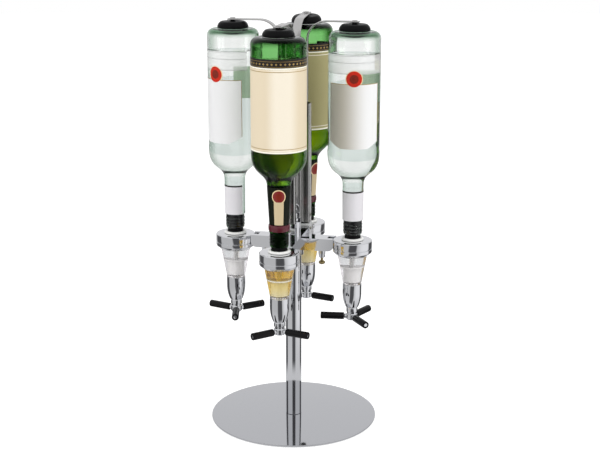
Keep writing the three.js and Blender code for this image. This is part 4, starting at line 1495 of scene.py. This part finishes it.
@dataclass
class Bottle:
    """Upside-down bottle with its drink, bare labels and seals."""

    station: Station
    mouth: float = 281.5
    height: float = 284.0
    finish_height: float = 20.5
    wall: float = 3.0
    bore: float = 10.0
    level: float = 537.6
    drink_foot: float = 302.7
    drink_overlap: float = 0.12
    thread_foot: float = 286.5
    thread_pitch: float = 4.6
    thread_ridges: int = 3
    body_radius: float = 36.2
    finish_radius: float = 13.1
    neck_foot: float = 14.4
    neck_root: float = 14.8
    neck_height: float = 70.5
    shoulder_height: float = 46.0
    foot_share: float = 0.48
    top_share: float = 0.74
    heel: float = 10.0
    ring_height: float = 3.0
    ring_radius: float = 14.5
    panel_depth: float = 0.3
    punt_depth: float = 4.0

    def shoulder(self, neck: float, body: float, steps: int = 24) -> list[Point]:
        """Draws the shoulder from the neck to the body.

        Args:
            neck: Radius at the neck.
            body: Radius at the body.
            steps: Straight runs along it.

        Returns:
            (radius, height) points.
        """
        low = self.mouth + self.neck_height
        high = low + self.shoulder_height
        return curve((neck, low), (neck, low + self.shoulder_height * self.foot_share),
                     (body, high - self.shoulder_height * self.top_share), (body, high), steps)

    def outside(self) -> list[Point]:
        """Draws the outer outline from the mouth to the middle of the base.

        Returns:
            (radius, height) points.
        """
        base = self.mouth + self.height
        lip = self.mouth + self.finish_height
        ring = lip + self.ring_height
        rim = self.body_radius - self.heel
        finish = self.finish_radius
        neck = rounded([
            (self.bore, self.mouth, 0.8), (finish, self.mouth, 1.2), (finish, lip, 0.4),
            (self.ring_radius, lip, 0.7), (self.ring_radius, ring, 0.7), (self.neck_foot, ring, 0.3),
            (self.neck_foot, ring + 0.8)])
        panel = self.body_radius - self.panel_depth
        top = self.mouth + self.neck_height + self.shoulder_height
        panel_side = [(self.body_radius, top + 3.0), (panel, top + 4.5), (panel, base - self.heel - 1.5)]
        heel = arc((rim, base - self.heel), self.heel, 0, 90, 12)
        middle = base - self.punt_depth
        punt = curve((rim - 3.0, base), (rim - 5.5, base - 0.1), (rim - 8.0, middle), (0, middle), 12)
        return neck + self.shoulder(self.neck_root, self.body_radius) + panel_side + heel + punt

    def inside(self, grow: float = 0.0) -> list[Point]:
        """Draws the inner outline from the mouth to the middle of the base.

        Args:
            grow: How far outside the true inner wall it lies.

        Returns:
            (radius, height) points.
        """
        base = self.mouth + self.height
        lip = self.mouth + self.finish_height
        ring = lip + self.ring_height
        heel, rim = self.heel - self.wall, self.body_radius - self.heel
        body = self.body_radius - self.wall + grow
        bore = self.bore + grow
        neck = [(bore, self.mouth + 0.8), (bore, lip), (self.neck_foot - self.wall + grow, ring + self.wall)]
        corner = arc((rim, base - self.heel), heel + grow, 0, 90, 10)
        floor = curve((rim - 4.0, base - self.wall), (rim - 7.0, base - self.wall),
                      (rim - 10.0, base - 8.0), (0, base - 8.5), 10)
        return neck + self.shoulder(self.neck_root - self.wall + grow, body) + corner + floor

    def radius_at(self, height: float) -> float:
        """Outer radius of the glass at a height."""
        return radius_on(self.outside(), height, self.body_radius)

    def glass(self) -> Finish:
        """Finish of the glass."""
        return CLEAR_GLASS if self.station.glass is Glass.CLEAR else GREEN_GLASS

    def wrap(self, name: str, low: float, high: float, half_angle: float, finish: Finish,
             lift: float = 0.05, turn: float = 0.0, sag: float = 0.0, thickness: float = 0.14) -> None:
        """Adds a bare sheet that lies on the glass.

        Args:
            name: Name of the piece, without the station.
            low: Lower edge.
            high: Upper edge.
            half_angle: Half of the angle that it spans, in degrees.
            finish: Its finish.
            lift: Gap between the glass and the sheet.
            turn: How far it is turned from where the labels face, in degrees.
            sag: How far its cut lower corners lie above the lower edge.
            thickness: Thickness of the sheet.
        """
        def grid(u: float, v: float, up: float) -> Point:
            """Finds a point of the sheet.

            Args:
                u: Share of the way round.
                v: Share of the way up.
                up: Height above the sheet's back.

            Returns:
                The (x, y, z) point.
            """
            angle = math.radians(half_angle * (2 * u - 1))
            drop = sag * min(1.0, 2 * (1 - abs(2 * u - 1)))
            height = low + sag - drop + (high - low - sag + drop) * v
            radius = self.radius_at(height) + lift + up
            return (radius * math.cos(angle), radius * math.sin(angle), height)

        columns = max(8, int(half_angle / 1.6))
        sheet = shell_patch(grid, columns, 10, thickness)
        where = self.station.optic(self.station.facing + turn)
        add_piece(self.station.at(name), to_mesh(name, sheet, where), finish, self.station.at("optic"))

    def line(self, name: str, low: float, width: float, half_angle: float, finish: Finish,
             turn: float = 0.0) -> None:
        """Adds a thin line on top of a label.

        Args:
            name: Name of the piece, without the station.
            low: Lower edge.
            width: How wide the line is.
            half_angle: Half of the angle that it spans, in degrees.
            finish: Its finish.
            turn: How far it is turned from where the labels face, in degrees.
        """
        self.wrap(name, low, low + width, half_angle, finish, LINE_LIFT, turn, thickness=LINE_THICKNESS)

    def band(self, name: str, low: float, high: float, lift: float, finish: Finish) -> None:
        """Adds a ring right round the glass.

        Args:
            name: Name of the piece, without the station.
            low: Lower edge.
            high: Upper edge.
            lift: Its thickness over the glass.
            finish: Its finish.
        """
        heights = [low + (high - low) * step / 8 for step in range(9)]
        inner = [(self.radius_at(height) + STUCK, height) for height in heights]
        outer = [(self.radius_at(height) + lift, height) for height in heights]
        ring = lathe(inner + outer[::-1], 96, closed=True)
        add_piece(self.station.at(name), to_mesh(name, ring, self.station.optic()), finish,
                  self.station.at("optic"))

    def seal(self, name: str, height: float, size: float, finish: Finish, rim: float = 1.2) -> None:
        """Adds a bare round seal with a rim.

        Args:
            name: Name of the piece, without the station.
            height: Height of its middle.
            size: Radius of the seal over its rim.
            finish: Finish of its middle.
            rim: Width of the rim.
        """
        def disc(outer: float, lift: float, dome: float) -> Callable[[float, float, float], Point]:
            """Makes the grid of a flat disc bent onto the glass.

            Args:
                outer: Radius of the disc.
                lift: Gap between the glass and the disc.
                dome: How far its middle stands out.

            Returns:
                Function that finds the disc's points.
            """
            def grid(u: float, v: float, up: float) -> Point:
                """Finds a point of the disc.

                Args:
                    u: Share of the way round.
                    v: Share of the way out from the middle.
                    up: Height above the disc's back.

                Returns:
                    The (x, y, z) point.
                """
                reach = outer * v
                turn = 2 * math.pi * (u % 1.0)
                side, rise = reach * math.cos(turn), reach * math.sin(turn)
                radius = self.radius_at(height + rise)
                out = radius + lift + up + (dome * (1 - v * v) if up else 0.0)
                return (out * math.cos(side / radius), out * math.sin(side / radius), height + rise)
            return grid

        where = self.station.optic(self.station.facing)
        parts = ((f"{name}_rim", size, 0.06, 0.0, SEAL_RIM), (name, size - rim, 0.16, 0.1, finish),
                 (f"{name}_heart", 0.5 * size, 0.36, 0.05, SEAL_HEART))
        for label, outer, lift, dome, look in parts:
            sheet = shell_patch(disc(outer, lift, dome), 48, 6, 0.1, round_patch=True)
            add_piece(self.station.at(label), to_mesh(label, sheet, where), look, self.station.at("optic"))

    def thread(self, root: float, crest: float) -> None:
        """Adds the worn thread ridges of the mouth.

        Args:
            root: Radius where a ridge meets the glass.
            crest: Radius of its top.
        """
        outline = rounded([(root, -1.0), (crest, -0.3, 0.3), (crest, 0.3, 0.3), (root, 1.0)], closed=True)
        ridge = lathe(outline, 72, closed=True)
        ridge.transform(Matrix.Translation((0, 0, self.thread_foot)))
        step = (0.0, 0.0, self.thread_pitch)
        ridges = row_pattern(to_mesh("ridge", ridge), self.thread_ridges, step, self.glass())
        ridges.transform(Matrix.Translation(self.station.optic().translation * MM))
        add_piece(self.station.at("thread_ridges"), ridges, self.glass(), self.station.at("optic"))

    def make_glass(self) -> None:
        """Builds the glass and the drink in it."""
        outline = self.inside()[::-1] + self.outside()
        mesh = to_mesh("glass", lathe(outline, 112), self.station.optic())
        add_piece(self.station.at("blown_glass"), mesh, self.glass(), self.station.at("optic"),
                  [self.station.at("bottle")])
        inner = self.inside(self.drink_overlap)
        foot, low, top = self.drink_foot, self.drink_foot + SINK, self.level
        wet = [point for point in inner if low < point[1] < top - 1.5]
        bore = radius_on(inner, low, inner[0][0])
        rim = self.body_radius - self.wall + self.drink_overlap
        surface = [(rim, top), (rim - 1.2, top - 0.8), (rim - 4.0, top - 1.0), (0.0, top - 1.0)]
        drink = lathe([(0.0, foot), (bore, foot)] + wet + surface, 96)
        finish = SPIRIT if self.station.glass is Glass.CLEAR else WHISKY
        add_piece(self.station.at("drink"), to_mesh("drink", drink, self.station.optic()), finish,
                  self.station.at("optic"))


@dataclass
class ClearBottle(Bottle):
    """Clear bottle: silver label, see-through strip, neck label and a red seal."""

    paper: Finish = SILVER_PAPER
    back_turn: float = 0.0
    label: Span = (409.0, 498.0)
    label_half_angle: float = 62.0
    label_sag: float = 9.0
    label_line: float = 0.8
    film: Span = (511.0, 536.5)
    film_half_angle: float = 75.0
    film_line: float = 0.5
    back_label: Span = (465.0, 512.0)
    back_half_angle: float = 44.0
    neck_label: Span = (302.6, 342.5)
    neck_line_top: float = 344.7
    neck_half_angle: float = 88.0
    seal_height: float = 505.0
    seal_radius: float = 12.0

    def make(self) -> None:
        """Builds the bottle and what is stuck on it."""
        self.make_glass()
        low, high = self.label
        reach, edge = self.label_half_angle, 0.6
        self.wrap("main_label", low, high, reach, self.paper, sag=self.label_sag)
        self.line("main_label_line", high - self.label_line, self.label_line, reach - edge, GOLD_FOIL)
        foot = low + self.label_sag + 1.0
        for name, turn in (("left_line", 0.8 - reach), ("right_line", reach - 0.8)):
            self.line(f"label_{name}", foot, high - 1.0 - foot, edge, GOLD_FOIL, turn)
        self.wrap("base_strip", *self.film, self.film_half_angle, PRINTED_FILM)
        for name, foot in (("film_foot_line", 511.6), ("film_middle_line", 526.2), ("film_head_line", 535.4)):
            self.line(name, foot, self.film_line, self.film_half_angle - 1.0, PRINT_GREY)
        self.wrap("back_label", *self.back_label, self.back_half_angle, LABEL_BACK,
                  turn=180.0 - self.back_turn)
        self.wrap("neck_label", *self.neck_label, self.neck_half_angle, NECK_PAPER)
        self.wrap("neck_label_line", self.neck_label[1], self.neck_line_top, self.neck_half_angle, DARK_PAPER)
        self.seal("round_seal", self.seal_height, self.seal_radius, SEAL_RED)
        self.thread(root=12.8, crest=13.9)


@dataclass
class GreenBottle(Bottle):
    """Green bottle: cream label, black band, neck wrap, burgundy ring and a dark red seal."""

    body_radius: float = 37.5
    finish_radius: float = 13.0
    neck_foot: float = 13.2
    neck_root: float = 16.4
    neck_height: float = 84.0
    shoulder_height: float = 43.0
    foot_share: float = 0.42
    top_share: float = 0.62
    heel: float = 11.0
    ring_height: float = 7.0
    ring_radius: float = 14.0
    paper: Finish = CREAM_PAPER
    line_finish: Finish = GOLD_FOIL
    label: Span = (418.8, 527.0)
    label_half_angle: float = 98.0
    label_line: float = 0.8
    label_foot: Span = (416.6, 418.6)
    dark_band: Span = (529.0, 540.2)
    band_edge: Span = (527.2, 528.8)
    band_line: float = 0.4
    lozenge_size: float = 1.6
    lozenge_height: float = 533.6
    lozenges: int = 40
    neck_wrap: Span = (313.6, 366.0)
    neck_strip: Span = (313.9, 346.0)
    strip_half_angle: float = 25.5
    seal_height: float = 353.5
    seal_radius: float = 9.6

    def make(self) -> None:
        """Builds the bottle and what is stuck on it."""
        self.make_glass()
        reach = self.label_half_angle
        self.wrap("main_label", *self.label, reach, self.paper)
        for name, foot in (("lower_line", 421.6), ("upper_line", 523.2)):
            self.line(name, foot, self.label_line, reach - 1.0, self.line_finish)
        self.wrap("label_foot", *self.label_foot, reach, PALE_EDGE)
        self.wrap("black_band", *self.dark_band, reach, DARK_PAPER)
        self.make_lozenges()
        self.wrap("band_edge", *self.band_edge, reach, PALE_EDGE)
        for name, foot in (("band_foot_line", 530.2), ("band_head_line", 537.0)):
            self.line(name, foot, self.band_line, reach - 1.0, GOLD_FOIL)
        self.band("neck_wrap", *self.neck_wrap, 0.12, NECK_WRAP)
        self.thread(root=12.4, crest=13.4)
        turned = [(self.radius_at(height) + STUCK, height) for height in (303.8, 306.0, 308.9, 309.3, 312.6)]
        sleeve = turned + [(14.0, 312.6), (14.6, 311.4), (14.8, 308.2), (14.6, 305.0), (14.1, 303.8)]
        ring = to_mesh("burgundy_ring", lathe(sleeve, 96, closed=True), self.station.optic())
        add_piece(self.station.at("burgundy_ring"), ring, BURGUNDY, self.station.at("optic"))
        self.wrap("neck_strip", *self.neck_strip, self.strip_half_angle, STRIP_PAPER, lift=0.18)
        self.seal("round_seal", self.seal_height, self.seal_radius, SEAL_DARK, rim=1.3)

    def make_lozenges(self) -> None:
        """Builds the row of plain gold lozenges on the black band."""
        size = self.lozenge_size
        corners = [(-size, 0.0), (0.0, -size), (size, 0.0), (0.0, size)]
        lozenge = prism(corners, 0.0, LINE_THICKNESS)
        place = Vector((self.body_radius - self.panel_depth + LINE_LIFT, 0.0, self.lozenge_height))
        lozenge.transform(Matrix.Translation(place) @ Matrix.Rotation(math.pi / 2, 4, "Y"))
        marks = round_pattern(to_mesh("lozenge", lozenge), self.lozenges, GOLD_FOIL)
        marks.transform(Matrix.Translation(self.station.optic().translation * MM))
        add_piece(self.station.at("band_lozenges"), marks, GOLD_FOIL, self.station.at("optic"))


# Studio and the order of building


@dataclass
class Studio:
    """Pale floor, soft light and the camera at the photograph's angle."""

    distance: float = 1.8079
    height: float = 0.7688
    pitch: float = 14.87
    sideways: float = 0.00931
    lens: float = 78.97
    # Dark gaps: direction from the camera's and half width, in degrees.
    gaps: tuple[Span, ...] = ((4.0, 22.0), (-113.0, 21.0), (122.0, 19.0))
    gap_edge: float = 5.0
    gap_top: Span = (0.5, 0.75)
    # Reflections of the floor: distances in metres, direction and edge of the bright box.
    gap_reach: Span = (0.14, 0.22)
    near_to_far: Span = (0.15, 0.6)
    right_box: float = 85.0
    right_edge: Span = (0.45, 0.95)
    plain_level: float = 0.82
    floor_radius: float = 6.0
    floor_glow: float = 0.45
    aim_height: float = 0.35
    white: str = "#FFFFFF"
    box_tone: str = "#E4E4E6"
    gap_tone: str = "#525254"
    floor_tone: str = "#EDEDED"
    floor_near: str = "#D2D2D4"
    floor_far: str = "#C4C4C5"
    floor_bright: str = "#F2F2F4"
    floor_through: str = "#E3EAE8"

    def strips(self, tree: NodeTree, direction: NodeSocket, first: float, later: float) -> NodeSocket:
        """Adds nodes for the dark gaps between the soft boxes.

        Args:
            tree: Node tree to add to.
            direction: Direction from the middle of the studio.
            first: Strength of the gaps in a direct reflection.
            later: Strength of the gaps in a reflection of a reflection.

        Returns:
            Socket that is 1 in a gap and 0 elsewhere.
        """
        flat = add_node(tree, "ShaderNodeVectorMath", {"operation": "MULTIPLY", 1: (1.0, 1.0, 0.0)},
                        {0: direction})
        level = add_node(tree, "ShaderNodeVectorMath", {"operation": "NORMALIZE"}, {0: flat.outputs[0]})
        masks = []
        for offset, half in self.gaps:
            angle = math.radians(TOWARDS_CAMERA + offset)
            outer, inner = (math.cos(math.radians(half + edge)) for edge in (self.gap_edge, -self.gap_edge))
            along = add_node(tree, "ShaderNodeVectorMath", {
                "operation": "DOT_PRODUCT", 1: (math.cos(angle), math.sin(angle), 0.0),
            }, {0: level.outputs[0]})
            masks.append(add_node(tree, "ShaderNodeMapRange", {
                "interpolation_type": "SMOOTHSTEP", "From Min": outer, "From Max": inner,
            }, {"Value": along.outputs["Value"]}))
        total = masks[0].outputs["Result"]
        for mask in masks[1:]:
            both = add_node(tree, "ShaderNodeMath", {"operation": "MAXIMUM"},
                            {0: total, 1: mask.outputs["Result"]})
            total = both.outputs["Value"]
        ray = add_node(tree, "ShaderNodeLightPath")
        strength = add_node(tree, "ShaderNodeMapRange", {
            "From Min": 1.0, "From Max": 2.0, "To Min": first, "To Max": later,
        }, {"Value": ray.outputs["Glossy Depth"]})
        shown = add_node(tree, "ShaderNodeMath", {"operation": "MULTIPLY"},
                         {0: total, 1: strength.outputs["Result"]})
        return shown.outputs["Value"]

    def world(self) -> None:
        """Sets a white surround with dark gaps that only polished surfaces show."""
        world = bpy.data.worlds.new("studio")
        bpy.context.scene.world = world
        world.use_nodes = True
        tree = world.node_tree
        tree.nodes.clear()
        ray = add_node(tree, "ShaderNodeLightPath")
        place = add_node(tree, "ShaderNodeTexCoord")
        gaps = self.strips(tree, place.outputs["Generated"], first=0.35, later=1.0)
        parts = add_node(tree, "ShaderNodeSeparateXYZ", {}, {"Vector": place.outputs["Generated"]})
        low, high = self.gap_top
        steep = add_node(tree, "ShaderNodeMapRange", {
            "From Min": low, "From Max": high, "To Min": 1.0, "To Max": 0.0,
        }, {"Value": parts.outputs["Z"]})
        mask = add_node(tree, "ShaderNodeMath", {"operation": "MULTIPLY"},
                        {0: gaps, 1: steep.outputs["Result"]})
        shine = add_node(tree, "ShaderNodeMix", {
            "data_type": "RGBA", 6: linear(self.box_tone), 7: linear(self.gap_tone),
        }, {0: mask.outputs["Value"]})
        polished = add_node(tree, "ShaderNodeBackground", {"Strength": 1.0}, {"Color": shine.outputs[2]})
        white = linear(self.white)
        plain = add_node(tree, "ShaderNodeBackground", {"Color": white, "Strength": self.plain_level})
        clear = add_node(tree, "ShaderNodeBackground", {"Color": white, "Strength": 1.0})
        first = add_node(tree, "ShaderNodeMixShader", {}, {
            0: ray.outputs["Is Glossy Ray"], 1: plain.outputs[0], 2: polished.outputs[0]})
        seen = add_node(tree, "ShaderNodeMath", {"operation": "MAXIMUM"}, {
            0: ray.outputs["Is Camera Ray"], 1: ray.outputs["Is Transmission Ray"]})
        final = add_node(tree, "ShaderNodeMixShader", {}, {
            0: seen.outputs["Value"], 1: first.outputs[0], 2: clear.outputs[0]})
        add_node(tree, "ShaderNodeOutputWorld", {}, {"Surface": final.outputs[0]})

    def floor_shine(self, tree: NodeTree, ray: Node) -> NodeSocket:
        """Adds nodes for what polished and clear things show of the floor.

        Args:
            tree: Node tree to add to.
            ray: Light path node.

        Returns:
            Socket of the colour.
        """
        place = add_node(tree, "ShaderNodeTexCoord").outputs["Object"]
        reach = add_node(tree, "ShaderNodeVectorMath", {"operation": "LENGTH"}, {0: place})
        beyond_base = add_node(tree, "ShaderNodeMapRange", {
            "interpolation_type": "SMOOTHSTEP", "From Min": self.gap_reach[0], "From Max": self.gap_reach[1],
        }, {"Value": reach.outputs["Value"]})
        gaps = self.strips(tree, place, first=1.0, later=0.4)
        mask = add_node(tree, "ShaderNodeMath", {"operation": "MULTIPLY"},
                        {0: gaps, 1: beyond_base.outputs["Result"]})
        away = add_node(tree, "ShaderNodeMapRange", {
            "interpolation_type": "SMOOTHSTEP",
            "From Min": self.near_to_far[0], "From Max": self.near_to_far[1],
        }, {"Value": reach.outputs["Value"]})
        box = math.radians(TOWARDS_CAMERA + self.right_box)
        level = add_node(tree, "ShaderNodeVectorMath", {"operation": "NORMALIZE"}, {0: place})
        near_box = add_node(tree, "ShaderNodeVectorMath", {
            "operation": "DOT_PRODUCT", 1: (math.cos(box), math.sin(box), 0.0)}, {0: level.outputs[0]})
        right = add_node(tree, "ShaderNodeMapRange", {
            "interpolation_type": "SMOOTHSTEP",
            "From Min": self.right_edge[0], "From Max": self.right_edge[1],
        }, {"Value": near_box.outputs["Value"]})
        wide = add_node(tree, "ShaderNodeMix", {
            "data_type": "RGBA", 6: linear(self.floor_far), 7: linear(self.floor_bright),
        }, {0: right.outputs["Result"]})
        pale = add_node(tree, "ShaderNodeMix", {"data_type": "RGBA", 6: linear(self.floor_near)},
                        {0: away.outputs["Result"], 7: wide.outputs[2]})
        shine = add_node(tree, "ShaderNodeMix", {"data_type": "RGBA", 7: linear(self.gap_tone)},
                         {0: mask.outputs["Value"], 6: pale.outputs[2]})
        through = add_node(tree, "ShaderNodeMix", {"data_type": "RGBA", 7: linear(self.floor_through)},
                           {0: ray.outputs["Is Transmission Ray"], 6: shine.outputs[2]})
        return through.outputs[2]

    def floor(self) -> None:
        """Lays the pale floor, which keeps the stand's soft shadow."""
        shape = bmesh.new()
        bmesh.ops.create_circle(shape, cap_ends=True, segments=96, radius=self.floor_radius)
        mesh = bpy.data.meshes.new("floor")
        shape.to_mesh(mesh)
        shape.free()
        floor = bpy.data.objects.new("floor", mesh)
        bpy.context.scene.collection.objects.link(floor)
        material = bpy.data.materials.new("pale_floor")
        material.use_nodes = True
        tree = material.node_tree
        tree.nodes.clear()
        ray = add_node(tree, "ShaderNodeLightPath")
        polished = add_node(tree, "ShaderNodeEmission", {"Strength": 1.0},
                            {"Color": self.floor_shine(tree, ray)})
        matt = add_node(tree, "ShaderNodeBsdfDiffuse", {"Color": linear(self.floor_tone)})
        glow = add_node(tree, "ShaderNodeEmission",
                        {"Color": linear(self.white), "Strength": self.floor_glow})
        dark = add_node(tree, "ShaderNodeEmission", {"Strength": 0.0})
        seen = add_node(tree, "ShaderNodeMath", {"operation": "MAXIMUM"}, {
            0: ray.outputs["Is Camera Ray"], 1: ray.outputs["Is Transmission Ray"]})
        lift = add_node(tree, "ShaderNodeMixShader", {}, {
            0: seen.outputs["Value"], 1: dark.outputs[0], 2: glow.outputs[0]})
        both = add_node(tree, "ShaderNodeAddShader", {}, {0: matt.outputs[0], 1: lift.outputs[0]})
        final = add_node(tree, "ShaderNodeMixShader", {}, {
            0: ray.outputs["Is Glossy Ray"], 1: both.outputs[0], 2: polished.outputs[0]})
        add_node(tree, "ShaderNodeOutputMaterial", {}, {"Surface": final.outputs[0]})
        mesh.materials.append(material)

    def lamp(self, name: str, azimuth: float, reach: float, rise: float, size: float, power: float) -> None:
        """Hangs one soft box aimed at the bottles.

        Args:
            name: Name of the lamp.
            azimuth: World direction from the stand to the lamp, in degrees.
            reach: Distance across the floor, in metres.
            rise: Height, in metres.
            size: Side of the square box, in metres.
            power: Power, in watts.
        """
        data = bpy.data.lights.new(name, "AREA")
        data.shape = "SQUARE"
        data.size = size
        data.energy = power
        lamp = bpy.data.objects.new(name, data)
        angle = math.radians(azimuth)
        lamp.location = (reach * math.cos(angle), reach * math.sin(angle), rise)
        aim = Vector((0.0, 0.0, self.aim_height)) - lamp.location
        lamp.rotation_euler = aim.to_track_quat("-Z", "Y").to_euler()
        lamp.visible_glossy = False
        bpy.context.scene.collection.objects.link(lamp)

    def camera(self) -> None:
        """Sets the camera where the photograph's fit puts it."""
        turn = math.radians(VIEW_AZIMUTH)
        data = bpy.data.cameras.new("camera")
        data.sensor_width = 36.0
        data.lens = self.lens
        data.clip_end = 50.0
        camera = bpy.data.objects.new("camera", data)
        side = Vector((math.cos(turn), math.sin(turn), 0.0)) * self.sideways
        camera.location = Vector((math.sin(turn), -math.cos(turn), 0.0)) * self.distance + side
        camera.location.z = self.height
        camera.rotation_euler = (math.radians(90 - self.pitch), 0.0, turn)
        bpy.context.scene.collection.objects.link(camera)
        bpy.context.scene.camera = camera

    def make(self) -> None:
        """Sets the whole studio."""
        bpy.context.scene.view_settings.view_transform = "Standard"
        self.world()
        self.floor()
        self.lamp("soft_box_right", TOWARDS_CAMERA + 62.0, reach=1.5, rise=1.1, size=1.0, power=10.0)
        self.lamp("soft_box_left", TOWARDS_CAMERA - 58.0, reach=1.6, rise=1.0, size=1.0, power=9.5)
        self.camera()


def bottle_at(station: Station) -> Bottle:
    """Chooses the bottle of a station, with its label paper and any painted shade on it.

    Args:
        station: The station that it stands over.

    Returns:
        The bottle, not yet built.
    """
    if station.glass is Glass.GREEN:
        # The far green bottle's label is cream stock painted dark olive, as painted shade.
        if station.name == "back":
            return GreenBottle(station, paper=SHADED_CREAM_PAPER, line_finish=PALE_EDGE)
        return GreenBottle(station)
    # The right bottle's label carries painted shade towards its left side.
    if station.name == "right":
        return ClearBottle(station, paper=LEFT_SHADED_SILVER_PAPER, back_turn=44.0)
    return ClearBottle(station)


def main() -> None:
    """Builds and dresses the dispenser, sub-assembly by sub-assembly."""
    logging.basicConfig(level=logging.INFO, format="%(message)s")
    Studio().make()
    Base().make()
    Head().make()
    for station in STATIONS:
        Rail(station).make()
        bottle = bottle_at(station)
        Clamp(station, rim_radius=bottle.body_radius - bottle.heel).make()
        ThumbScrew(station).make()
        Optic(station).make()
        Lever(station).make()
        bottle.make()


if __name__ == "__main__":
    main()
